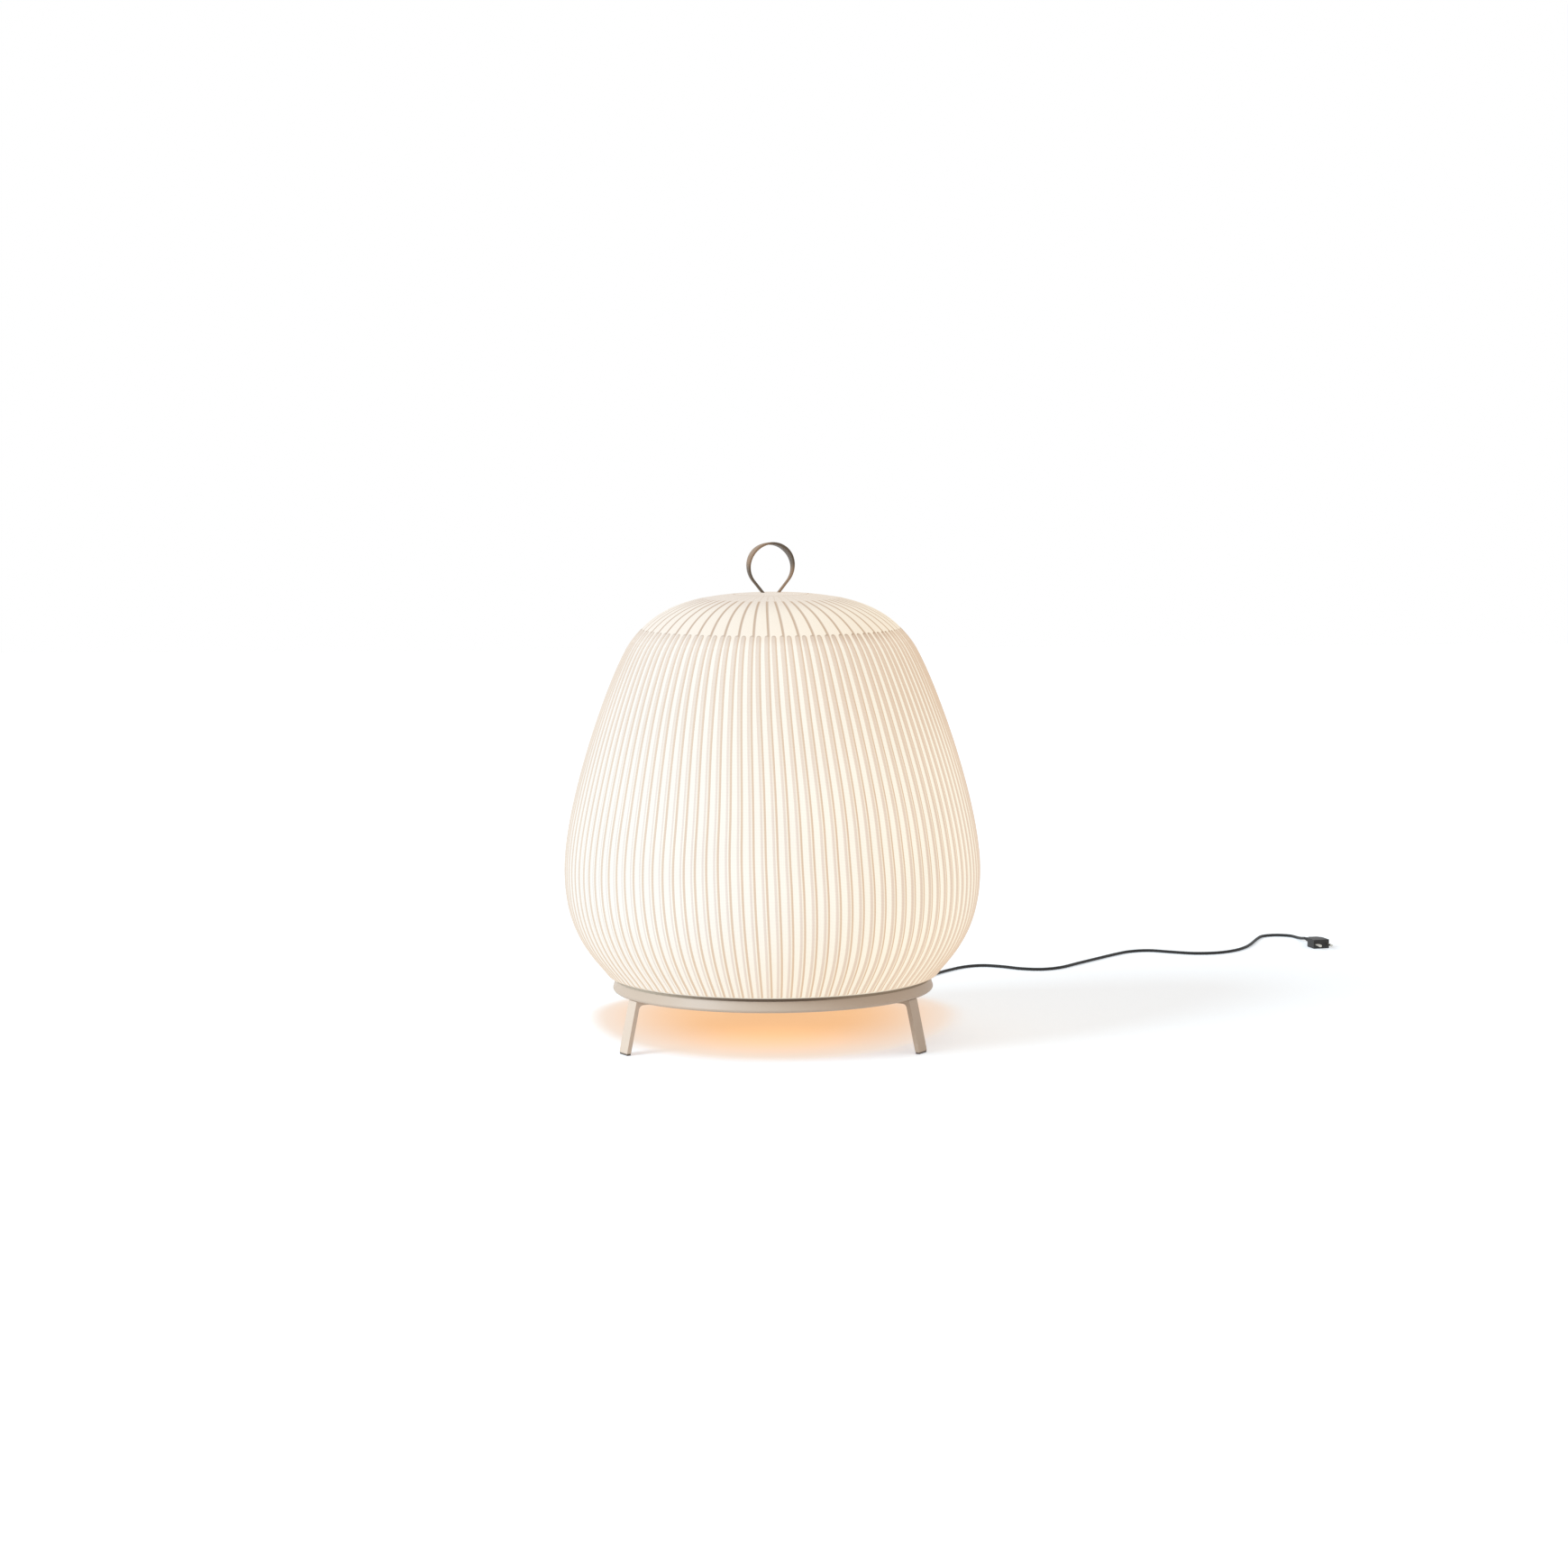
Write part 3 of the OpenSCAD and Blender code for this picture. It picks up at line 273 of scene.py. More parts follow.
def coilPoint(share):  # a spiral inward, a climb to the next layer, and a spiral outward on top
    fromClimb = coil["angle"] * (share - 0.5)
    radius = coil["radius"] - coil["pitch"] * (coil["angle"] / 2 - abs(fromClimb)) / 360
    climb = min(1, max(0, fromClimb / 180 + 0.5))
    turn = math.radians(coil["angle"] * share - 90)
    return Vector((
        coil["middle"][0] + radius * math.cos(turn), coil["middle"][1] + radius * math.sin(turn),
        coil["low"] + coil["pitch"] * climb ** 2 * (3 - 2 * climb),
    ))


def coilLine():
    steps = round(coil["stepsPerTurn"] * coil["angle"] / 360)
    return [coilPoint(k / steps) for k in range(steps + 1)]


def linkLine(coilStart):  # straight out of the dimmer and straight into the coil
    forward = Vector((cord["diameter"], 0, 0))
    start, end = metres(cord["dimmerOut"])[0], coilStart - forward
    return smoothLine([start, start + forward, end - forward, end], cord["linkPerSpan"])


def floorLine(coilEnd):  # out of the coil along its last turn and straight into the plug
    stub = 2 * cord["diameter"]
    coilWay, plugWay = heading(coil["angle"]), heading(cord["plugTurn"])
    start, end = coilEnd + cord["diameter"] * coilWay, metres(cord["plugStart"])[0]
    points = [start, start + stub * coilWay, *metres(*floorRoute), end - stub * plugWay, end]
    return smoothLine(points, cord["perSpan"])


def lengthsAlong(line):  # from the line's start to each of its points
    return list(accumulate(((b - a).length for a, b in zip(line, line[1:])), initial=0.0))


def lineLength(line):
    return lengthsAlong(line)[-1]


def tubeMesh(name, line, start):  # the side vector is carried from ring to ring
    radius, sides = cord["diameter"] / 2, cord["sides"]
    turns = [fullTurn * n / sides for n in range(sides)]
    rings, side = [], Vector(start)
    for k, point in enumerate(line):
        ahead = (line[min(k + 1, len(line) - 1)] - line[max(k - 1, 0)]).normalized()
        side = (side - ahead * side.dot(ahead)).normalized()
        other = ahead.cross(side)
        rings.append([point + radius * (math.cos(a) * side + math.sin(a) * other) for a in turns])
    return ringMesh(name, rings, [n / sides for n in range(sides + 1)], lengthsAlong(line))


def describeCord(graph):  # a fine textile braid, its strands crossing round the cord
    u, v, _ = graph.uv().split()
    along, around = v / braid["pitch"], u * braid["strands"]
    crossing = ((along + around) * fullTurn).sine() * ((along - around) * fullTurn).sine()
    strand = crossing.ramp(*braid["crossing"])
    fleck, share = graph.place().noise(braid["fleckScale"], 3), braid["fleckShare"]
    paleness = strand * (1 - share) + fleck * share
    return {
        "Base Color": paleness.mix(braid["dark"], braid["pale"]),
        "Roughness": fleck * 0.16 + 0.72, "Sheen Weight": 0.12, "Sheen Roughness": 0.5,
        "Normal": strand.bump(0.6, braid["depth"]),
    }


cordFinish = material("blackBraid", describeCord)


def addCords():
    lampLine = smoothLine(metres(*lampRoute), cord["perSpan"])
    lampCord = addPiece(
        "lamp_cord", tubeMesh("lamp_cord", lampLine, (0, 1, 0)), cordFinish,
        "black_cord", "cord_from_lamp",
    )
    turns = coilLine()
    line = linkLine(turns[0]) + turns + floorLine(turns[-1])
    mainsCord = addPiece(
        "mains_cord", tubeMesh("mains_cord", line, (0, 0, 1)), cordFinish,
        "black_cord", "cord_link", "cord_coil", "cord_to_plug",
    )
    lineLength(lampLine)
    lineLength(line)
    print("cords done", round(lineLength(lampLine), 4), round(lineLength(line), 4))


addCords()


# Knit cover: the outline runs from the hem over the lip and up to the crest, as four cubic
# curves. Lengths are in millimetres and angles in degrees.
cover = {
    "hem": (210.7, 75.5), "fold": ((210.7, 88.7), (210.7, 94.8), (213.6, 92.7)),
    "mouth": (224.7, 93.3), "mouthSlope": 47.3, "mouthPull": 45.5,
    "belly": (284.2, 237.3), "bellyPulls": (76.2, 91.9),
    "shoulder": (191.0, 549.4), "shoulderSlope": 54.2, "shoulderPulls": (46.7, 55.2),
    "crest": 615.5, "crestPull": 110, "samples": 400,
    "pairs": 56, "spread": 1.45, "spreadFrom": 0.05, "spreadTo": 0.85,
}
shell = {
    "innerInset": 3.5, "inset": 1.3, "insetFrom": 22, "insetOver": 20, "leastInset": 0.15,
    "lipEnd": 44, "sideStart": 50, "sideEnd": -12, "domeStart": -10,
    "lipRows": 18, "sideRows": 52, "domeRows": 46, "innerRows": 22, "wedgeColumns": 10,
    "crowding": 0.7, "pillow": 0.6, "crease": 14, "weld": 0.02,
    "grooveTurn": -0.85, "grooveStart": -4, "grooveOver": 6, "grooveDepth": 0.8,
    "grooveWidth": 5.0, "capRadius": 91.0, "capFrom": -4, "capOver": 10,
    "swirl": 1.95, "swirlFrom": -20, "seam": 51.0,
}
rib = {
    "across": (-1, -0.86, -0.5, 0, 0.5, 0.86, 1), "crown": (0, 0.52, 0.9, 1, 0.9, 0.52, 0),
    "width": 8.5, "taper": 0.82, "taperFrom": 200, "height": 1.4, "sink": 0.15,
    "start": 6, "lipEnd": 44, "sideStart": 51, "tipPart": 10, "tipFirst": 0.12, "tipCrowding": 0.8,
    "lipRows": 16, "sideRows": 66, "tipRows": 8,
    "tipRadius": 175.5, "tipRound": 4.5, "leastWidth": 0.04, "roundFall": 0.8,
    "riseOver": 26, "leastRise": 0.15, "fallOver": 45, "tipRise": 0.4,
    "turn": -0.2, "pull": 0.15, "pullZone": (400, 560), "wander": 0.5, "wanderScale": 7.0,
    "upperTwist": 2.9, "upperZone": (300, 600), "lowerTwist": 1.25, "lowerZone": (90, 310),
}


def onCurve(c, t):
    s = 1 - t
    return s ** 3 * c[0] + 3 * s ** 2 * t * c[1] + 3 * s * t * t * c[2] + t ** 3 * c[3]


def coverCurves():
    fold = [np.array(point, float) for point in cover["fold"]]
    mouth, belly, shoulder = (np.array(cover[name]) for name in ("mouth", "belly", "shoulder"))
    low, high = math.radians(cover["mouthSlope"]), math.radians(cover["shoulderSlope"])
    outward = np.array((math.cos(low), math.sin(low)))
    inward = np.array((-math.cos(high), math.sin(high)))
    up = np.array((0.0, 1.0))
    bellyLow, bellyHigh = cover["bellyPulls"]
    shoulderLow, shoulderHigh = cover["shoulderPulls"]
    crest, level = cover["crest"], np.array((cover["crestPull"], cover["crest"]), float)
    return [
        [*fold, mouth],
        [mouth, mouth + cover["mouthPull"] * outward, belly - bellyLow * up, belly],
        [belly, belly + bellyHigh * up, shoulder - shoulderLow * inward, shoulder],
        [shoulder, shoulder + shoulderHigh * inward, level, np.array((0, crest))],
    ]


def outline():  # points, outward normals and lengths along, in metres
    shares = np.linspace(0, 1, cover["samples"])[:-1]
    fine = [onCurve(c, t) for c in coverCurves() for t in shares]
    points = np.array([cover["hem"], *fine, (0, cover["crest"])]) * mm
    steps = np.linalg.norm(np.diff(points, axis=0), axis=1)
    along = np.concatenate([[0], np.cumsum(steps)])
    ahead = np.gradient(points, along, axis=0)
    ahead /= np.linalg.norm(ahead, axis=1)[:, None]
    return points, np.column_stack([ahead[:, 1], -ahead[:, 0]]), along


outlinePoints, outlineNormals, outlineAlong = outline()


def sampledAt(along, values):
    return np.column_stack([np.interp(along, outlineAlong, values[:, k]) for k in (0, 1)])


def atLength(along, lift):  # points on the outline, moved out along its normal
    lifts = np.reshape(lift, (-1, 1))
    return sampledAt(along, outlinePoints) + sampledAt(along, outlineNormals) * lifts


def insetAt(along):  # how far the shell lies inside the outline: hardly at its lip
    share = (along / mm - shell["insetFrom"]) / shell["insetOver"]
    return shell["inset"] * np.clip(share, shell["leastInset"], 1) * mm


def lengthAtRadius(radius):  # above the belly, where the radius only shrinks
    start = int(np.argmax(outlinePoints[:, 0]))
    radii, lengths = outlinePoints[start:, 0], outlineAlong[start:]
    return float(np.interp(radius * mm, radii[::-1], lengths[::-1]))


tipLength = lengthAtRadius(rib["tipRadius"])


# The knit's look: what the yarn doesn't send back of the room's light comes through from within
knitLight = {
    "yarn": (0.17, 0.175, 0.175, 1), "gapYarn": (0.11, 0.12, 0.13, 1), "level": 0.96,
    "lit": (90.3, 92.6), "crest": (560, 610), "crestLoss": 0.05,
    "cloudScale": 14, "cloudDepth": 0.06, "stitchBase": 0.915, "stitchGain": 0.165,
    # Across the cover the tint by side is painted light from the left and painted shade on the
    # right; the upper right gets more painted shade and the foot painted warm light.
    "sideZone": (-260, 260), "highRightX": (0, 150), "highRightZ": (380, 500),
    "highRightTint": (0.965, 0.95, 0.935), "footZone": (90, 230), "footTint": (1.0, 0.965, 0.915),
    # The lip's dark base colours below the glow are painted shade, darkest in front and paler to
    # the sides, most to the left.
    "leftDark": (0.50, 0.42, 0.33, 1), "dark": (0.15, 0.105, 0.075, 1),
    "rightDark": (0.34, 0.26, 0.19, 1), "leftZone": (-200, -30), "rightZone": (30, 120),
    "row": 1.7 * mm, "chevron": 0.9, "ribStitches": 5, "wedgeStitches": 16, "stitchDepth": 0.22,
}
# The tan and tip tones serve painted shade on the ribs, the cool tone painted light.
knitTones = {
    "bright": tone(255, 251, 240), "wedge": tone(253, 244, 229), "cap": tone(240, 229, 216),
    "groove": tone(210, 188, 166), "beige": tone(238, 224, 209), "cool": tone(237, 224, 212),
    "tan": tone(231, 209, 186), "line": tone(255, 249, 236), "tip": tone(192, 171, 151),
}
# Ribs: the cool flank and the side tint are painted light from the left; the tan flank, the darker
# right edges and the tips are painted shade.
ribPaint = {
    "sides": ((1.03, 1.075, 1.14, 1), (1.0, 0.925, 0.85, 1)),
    "stripedBelow": (300, 520), "leastStriping": 0.1,
    "coolStart": (0.0, 0.06), "coolEnd": (0.38, 0.48),
    "tanStart": (0.60, 0.70), "tanEnd": (0.93, 1.0), "tanLoss": 0.6,
    "leftEdge": (0.05, 0.30), "leftShare": 0.35, "rightEdge": (0.55, 0.85), "rightShare": 0.9,
    "tipSoft": (-22, -4), "softShare": 0.22, "tipHard": (-4, -1), "hardShare": 0.6,
    "tipRight": (20, 130, 1.0, 1.7), "tipFarRight": (148, 172, 1.0, 0.45),
}
shellPaint = {
    # sides: painted light from the left, painted shade on the right.
    "sides": ((1.0, 1.01, 1.06, 1), (1.05, 1.02, 0.965, 1)), "wedgeZone": (550, 565),
    "grooveZone": (555, 568), "grooveCap": (-3, 4), "grooveCore": 0.35,
    "faintWidth": (0.2, 1.4), "faintOuter": (85, 92), "faintInner": (52, 60), "faintShare": 0.3,
    "seamWidth": (0.6, 1.8), "seamShare": 0.7, "capZone": (580, 600), "capReach": (85, 145),
    "yarnZone": (560, 600),
}


def describeKnit(graph, target, raised, stitches, sides):
    x, _, z = graph.place().split()
    lit = z.zone(*knitLight["lit"])
    glow = lit * (1 - z.zone(*knitLight["crest"]) * knitLight["crestLoss"])
    cloudDepth = knitLight["cloudDepth"]
    cloud = graph.place().noise(knitLight["cloudScale"], 3) * cloudDepth + (1 - cloudDepth / 2)
    relief = stitches * knitLight["stitchGain"] + knitLight["stitchBase"]
    # Paler and cooler to the left, warmer and darker to the right: painted light and painted shade.
    shown = target.times(cloud * relief).tinted(x.zone(*knitLight["sideZone"]).mix(*sides))
    # Painted shade: the upper right of the cover is darkened.
    upperRightShade = x.zone(*knitLight["highRightX"]) * z.zone(*knitLight["highRightZ"])
    shown = upperRightShade.mix(shown, shown.tinted(knitLight["highRightTint"]))
    # Painted warm light: the foot of the cover is tinted warmer.
    warmLitFoot = 1 - z.zone(*knitLight["footZone"])
    shown = warmLitFoot.mix(shown, shown.tinted(knitLight["footTint"]))
    # Painted shade: below the glow the lip over the rim has a dark base colour, which makes the
    # shadow line between cover and rim.
    lipShade = x.zone(*knitLight["leftZone"]).mix(knitLight["leftDark"], knitLight["dark"])
    lipShade = x.zone(*knitLight["rightZone"]).mix(lipShade, knitLight["rightDark"])
    yarn = graph.blend(raised, knitLight["gapYarn"], knitLight["yarn"])
    return {
        "Base Color": lit.mix(lipShade, yarn),
        "Emission Color": shown.less(yarn.times(knitLight["level"])).times(glow),
        "Emission Strength": 1.0, "Roughness": 0.86, "Specular IOR Level": 0.2,
        "Sheen Weight": 0.08, "Sheen Roughness": 0.6,
        "Normal": stitches.bump(0.5, knitLight["stitchDepth"]),
    }


def stitchHeight(across, along):  # rows of little chevrons, as on the face of a plain knit
    lean = (across.part() - 0.5).size()
    rows = ((along + lean * knitLight["chevron"]) * fullTurn).sine() * 0.5 + 0.5
    return rows * (1 - (lean * 2) ** 4)


def describeRibs(graph):  # plain above; below, a bright line between a cool flank and a tan one, the cool flank painted light from the left and the tan flank painted shade
    paint, tones = ribPaint, knitTones
    u, v, _ = graph.uv().split()
    x, _, z = graph.place().split()
    litCoolFlank = u.ramp(*paint["coolStart"]) * (1 - u.ramp(*paint["coolEnd"]))
    shadedTanFlank = u.ramp(*paint["tanStart"]) * (1 - u.ramp(*paint["tanEnd"]) * paint["tanLoss"])
    # Darker edges, the right one much more: partly the thicker knit there and partly painted shade.
    leftEdge = (1 - u.ramp(*paint["leftEdge"])) * paint["leftShare"]
    thickAndShadedEdges = leftEdge + u.ramp(*paint["rightEdge"]) * paint["rightShare"]
    beige = thickAndShadedEdges.mix(tones["beige"], tones["tan"])
    striped = shadedTanFlank.mix(litCoolFlank.mix(tones["line"], tones["cool"]), tones["tan"])
    least = paint["leastStriping"]
    striping = (1 - z.zone(*paint["stripedBelow"])) * (1 - least) + least
    # Painted shade at the ribs' tips, strongest towards the right of the cover.
    fromTip = v - tipLength
    tip = fromTip.zone(*paint["tipSoft"]) * paint["softShare"]
    tip = tip + fromTip.zone(*paint["tipHard"]) * paint["hardShare"]
    tip = tip * x.zone(*paint["tipRight"]) * x.zone(*paint["tipFarRight"])
    stitches = stitchHeight(u * knitLight["ribStitches"], v / knitLight["row"])
    colour = tip.mix(striping.mix(beige, striped), tones["tip"])
    return describeKnit(graph, colour, 1.0, stitches, paint["sides"])


def describeShell(graph):  # grooves down the dome, and on the cap faint lines round a seam
    paint, tones, pairs = shellPaint, knitTones, cover["pairs"]
    u, v, _ = graph.uv().split()
    x, y, z = graph.place().split()
    reach = (x * x + y * y) ** 0.5
    fromGroove = ((u * pairs + 0.5).part() - 0.5).size() * reach * (fullTurn / pairs)
    half, cap = shell["grooveWidth"] / 2, shell["capRadius"]
    capStart, capEnd = (cap + step for step in paint["grooveCap"])
    onDome = z.zone(*paint["grooveZone"]) * reach.zone(capStart, capEnd)
    groove = (1 - fromGroove.zone(half * paint["grooveCore"], half)) * onDome
    onCap = (1 - reach.zone(*paint["faintOuter"])) * reach.zone(*paint["faintInner"])
    faint = (1 - fromGroove.zone(*paint["faintWidth"])) * onCap * paint["faintShare"]
    fromSeam = (reach - shell["seam"] * mm).size()
    seam = (1 - fromSeam.zone(*paint["seamWidth"])) * paint["seamShare"]
    onTop = z.zone(*paint["capZone"])
    dome = z.zone(*paint["wedgeZone"]).mix(tones["bright"], tones["wedge"])
    body = ((1 - reach.zone(*paint["capReach"])) * onTop).mix(dome, tones["cap"])
    colour = (groove + (faint + seam) * onTop).mix(body, tones["groove"])
    stitches = stitchHeight(u * (pairs * knitLight["wedgeStitches"]), v / knitLight["row"])
    return describeKnit(graph, colour, z.zone(*paint["yarnZone"]), stitches, paint["sides"])


ribFinish = material("knitRibs", describeRibs)
shellFinish = material("knitShell", describeShell)


def nodeTree(name, inputs):  # a Geometry Nodes tree with a geometry input and named numbers
    tree = bpy.data.node_groups.new(name, "GeometryNodeTree")
    tree.interface.new_socket("Geometry", in_out="OUTPUT", socket_type="NodeSocketGeometry")
    tree.interface.new_socket("Geometry", in_out="INPUT", socket_type="NodeSocketGeometry")
    for label, kind in inputs.items():
        tree.interface.new_socket(label, in_out="INPUT", socket_type=f"NodeSocket{kind}")
    return tree, Plug(tree).node("NodeGroupInput")


def finishTree(shape, surface):
    values = {"Geometry": shape, "Material": surface}
    made = shape.node("GeometryNodeSetMaterial", values=values)
    made.node("NodeGroupOutput", values={"Geometry": made})


def grown(mesh, tree, values):  # the mesh that a tree makes from another mesh
    source = addObject("source", mesh)
    modifier = source.modifiers.new("grow", "NODES")
    modifier.node_group = tree
    ids = {s.name: s.identifier for s in tree.interface.items_tree if s.in_out == "INPUT"}
    for label, value in values.items():
        modifier[ids[label]] = value
    graph = bpy.context.evaluated_depsgraph_get()
    made = bpy.data.meshes.new_from_object(source.evaluated_get(graph), depsgraph=graph)
    bpy.data.objects.remove(source)
    return made


def spreadAt(rightness):  # the share of the pattern's move round: none in front, all at the right
    return rightness.ramp(cover["spreadFrom"], cover["spreadTo"])


def shellTree():  # a grid bent round, each of its rows at a point of the profile
    tree, given = nodeTree("coverShell", {
        "Columns": "Int", "Rows": "Int", "Wedges": "Float", "Crowding": "Float", "Spread": "Float",
    })
    grid = given.node("GeometryNodeMeshGrid", values={
        "Size X": 1.0, "Size Y": 1.0, "Vertices X": given["Columns"], "Vertices Y": given["Rows"],
    })
    x, y, _ = given.node("GeometryNodeInputPosition").split()
    wedge = (x + 0.5) * given["Wedges"]
    inWedge = wedge.part()
    crowded = inWedge - (inWedge * fullTurn).sine() * given["Crowding"] / fullTurn
    share = (wedge.floor() + crowded) / given["Wedges"]
    row = given.calc("ROUND", (y + 0.5) * (given["Rows"] - 1))

    def sampled(name, kind="FLOAT"):
        settings = {"data_type": kind}
        value = given.node("GeometryNodeInputNamedAttribute", settings, {"Name": name})
        values = {"Geometry": given["Geometry"], "Value": value, "Index": row}
        return given.node("GeometryNodeSampleIndex", settings, values)

    base, dent = sampled("base", "FLOAT_VECTOR"), sampled("dent", "FLOAT_VECTOR")
    inGroove = (crowded * 2 - 1).size() ** shell["crease"]
    pillow = (crowded * math.pi).sine() * shell["pillow"] - inGroove
    lift = given.vector(pillow, pillow, pillow)
    radius, _, height = given.vectorCalc("MULTIPLY_ADD", dent, lift, base).split()
    turn = share * fullTurn + sampled("turn")
    turn = turn + spreadAt(turn.cosine()) * given["Spread"]
    place = given.vector(radius * turn.cosine(), radius * turn.sine(), height)
    pattern = given.vector(share, sampled("along"))
    domain = {"data_type": "FLOAT2", "domain": "CORNER"}
    stored = given.node("GeometryNodeStoreNamedAttribute", domain, {
        "Geometry": grid, "Name": "UVMap", "Value": pattern,
    })
    shaped = given.node("GeometryNodeSetPosition", values={"Geometry": stored, "Position": place})
    joined = given.node("GeometryNodeMergeByDistance", values={
        "Geometry": shaped, "Distance": shell["weld"] * mm,
    })
    smooth = given.node("GeometryNodeSetShadeSmooth", values={"Geometry": joined})
    finishTree(smooth, shellFinish)
    return tree


def shellProfile():  # a closed line in the plane of x and z, with what the tree reads at its points
    tip, end = tipLength, outlineAlong[-1]
    outer = np.concatenate([
        np.linspace(0, shell["lipEnd"] * mm, shell["lipRows"]),
        np.linspace(shell["sideStart"] * mm, tip + shell["sideEnd"] * mm, shell["sideRows"]),
        np.linspace(tip + shell["domeStart"] * mm, end, shell["domeRows"]),
    ])
    inner = np.linspace(end, 0, shell["innerRows"])
    outside = atLength(outer, -insetAt(outer))
    inside = atLength(inner, -shell["innerInset"] * mm)
    inside[0, 0] = outside[-1, 0] = 0
    base = np.concatenate([outside, inside, outside[:1]])
    along = np.concatenate([outer, inner, outer[:1]])
    radius = base[:, 0] / mm
    pastTip = (along - tip) / mm
    capRadius, tipRadius = shell["capRadius"], rib["tipRadius"]
    grooved = np.clip((pastTip - shell["grooveStart"]) / shell["grooveOver"], 0, 1)
    grooved *= np.clip((radius - capRadius - shell["capFrom"]) / shell["capOver"], 0, 1)
    grooved[len(outer):] = 0
    dent = sampledAt(along, outlineNormals) * (shell["grooveDepth"] * mm * grooved)[:, None]
    inward = np.clip((tipRadius - radius) / (tipRadius - capRadius), 0, 1)
    swirl = shell["swirl"] * inward * (pastTip > shell["swirlFrom"])
    turn = np.radians(shell["grooveTurn"] - 90 - swirl)
    mesh = bpy.data.meshes.new("profile")
    mesh.from_pydata([(r, 0, z) for r, z in base], [], [])
    for name, values in {"base": base, "dent": dent}.items():
        flat = np.insert(values, 1, 0, axis=1).astype(np.float32).ravel()
        mesh.attributes.new(name, "FLOAT_VECTOR", "POINT").data.foreach_set("vector", flat)
    for name, values in {"along": along, "turn": turn}.items():
        flat = values.astype(np.float32)
        mesh.attributes.new(name, "FLOAT", "POINT").data.foreach_set("value", flat)
    return mesh, len(base)


def addShell():
    profile, rows = shellProfile()
    made = grown(profile, shellTree(), {
        "Columns": shell["wedgeColumns"] * cover["pairs"] + 1, "Rows": rows,
        "Wedges": float(cover["pairs"]), "Crowding": shell["crowding"],
        "Spread": math.radians(cover["spread"]),
    })
    made.name = "knit_shell"
    addPiece("knit_shell", made, None, "cream_knit", "knit_cover")
    print("shell done", len(made.polygons))


def ribMesh():  # one rib at angle zero, with a flat underside just inside the shell
    tip = tipLength
    nearTip = 1 - np.linspace(rib["tipFirst"], 1, rib["tipRows"]) ** rib["tipCrowding"]
    levels = np.concatenate([
        np.linspace(rib["start"] * mm, rib["lipEnd"] * mm, rib["lipRows"]),
        np.linspace(rib["sideStart"] * mm, tip - rib["tipPart"] * mm, rib["sideRows"]),
        tip - rib["tipPart"] * mm * nearTip,
    ])
    across, crown = np.array(rib["across"]), np.array(rib["crown"])
    fromTip = (levels - tip) / mm
    rounding = np.clip(fromTip / rib["tipRound"] + 1, 0, 1)
    narrow = np.sqrt(np.clip(1 - rounding ** 2, rib["leastWidth"] ** 2, 1))
    rise = np.clip((levels / mm - rib["start"]) / rib["riseOver"], rib["leastRise"], 1)
    rise *= np.interp(fromTip, (-rib["fallOver"], 0), (1, rib["tipRise"]))
    rise *= narrow ** rib["roundFall"]
    taper = np.interp(levels, (rib["taperFrom"] * mm, tip), (1, rib["taper"]))
    rings = []
    for along, width, high in zip(levels, narrow * taper, rise):
        lifts = (crown * rib["height"] * high - rib["sink"]) * mm - insetAt(along)
        section = atLength(np.full(len(across), along), lifts)
        sides = across * width * rib["width"] / 2 * mm
        rings.append([(r, side, z) for (r, z), side in zip(section, sides)])
    acrossUv = [*(across / 2 + 0.5), 0.0]
    return ringMesh("rib", rings, acrossUv, levels, flat=len(across) - 1)


def ribTree():  # two ribs to each wedge of the dome, all round
    tree, given = nodeTree("coverRibs", {
        "Pairs": "Int", "Phase": "Float", "Pull": "Float", "Wander": "Float",
        "Upper Twist": "Float", "Lower Twist": "Float", "Spread": "Float",
    })
    points = given.node("GeometryNodePoints", values={
        "Count": given["Pairs"] * 2, "Position": (0, 0, 0),
    })
    pair = given.node("GeometryNodeInputIndex") / 2
    side = pair.part() * 4 - 1
    quarter = side * 0.25  # of a wedge, to either side of its middle
    turn = (pair.floor() + quarter) * fullTurn / given["Pairs"] + given["Phase"]
    domain = {"data_type": "FLOAT", "domain": "POINT"}
    marked = given.node("GeometryNodeStoreNamedAttribute", domain, {
        "Geometry": points, "Name": "side", "Value": side,
    })
    placed = given.node("GeometryNodeInstanceOnPoints", values={
        "Points": marked, "Instance": given["Geometry"], "Rotation": given.vector(z=turn),
    })
    real = given.node("GeometryNodeRealizeInstances", values={"Geometry": placed})
    position = given.node("GeometryNodeInputPosition")
    x, y, height = position.split()
    kind = {"data_type": "FLOAT"}
    ribSide = given.node("GeometryNodeInputNamedAttribute", kind, {"Name": "side"})
    pull = ribSide * height.zone(*rib["pullZone"]) * given["Pull"]
    wander = (position.noise(rib["wanderScale"], 1.0) - 0.5) * given["Wander"]
    upper = (1 - height.zone(*rib["upperZone"])) * given["Upper Twist"]
    lower = (1 - height.zone(*rib["lowerZone"])) * given["Lower Twist"]
    spread = spreadAt(x / (x * x + y * y) ** 0.5) * given["Spread"]
    angle = wander - pull + upper + lower + spread
    turned = given.node("ShaderNodeVectorRotate", {"rotation_type": "Z_AXIS"}, {
        "Vector": position, "Angle": angle,
    })
    moved = given.node("GeometryNodeSetPosition", values={"Geometry": real, "Position": turned})
    finishTree(moved, ribFinish)
    return tree


def addRibs():
    made = grown(ribMesh(), ribTree(), {
        "Pairs": cover["pairs"], "Phase": math.radians(rib["turn"] - 90),
        "Pull": math.radians(rib["pull"]), "Wander": math.radians(rib["wander"]),
        "Upper Twist": math.radians(rib["upperTwist"]),
        "Lower Twist": math.radians(rib["lowerTwist"]), "Spread": math.radians(cover["spread"]),
    })
    made.name = "knit_ribs"
    addPiece("knit_ribs", made, None, "cream_knit")
    print("ribs done", len(made.polygons))


addShell()
addRibs()


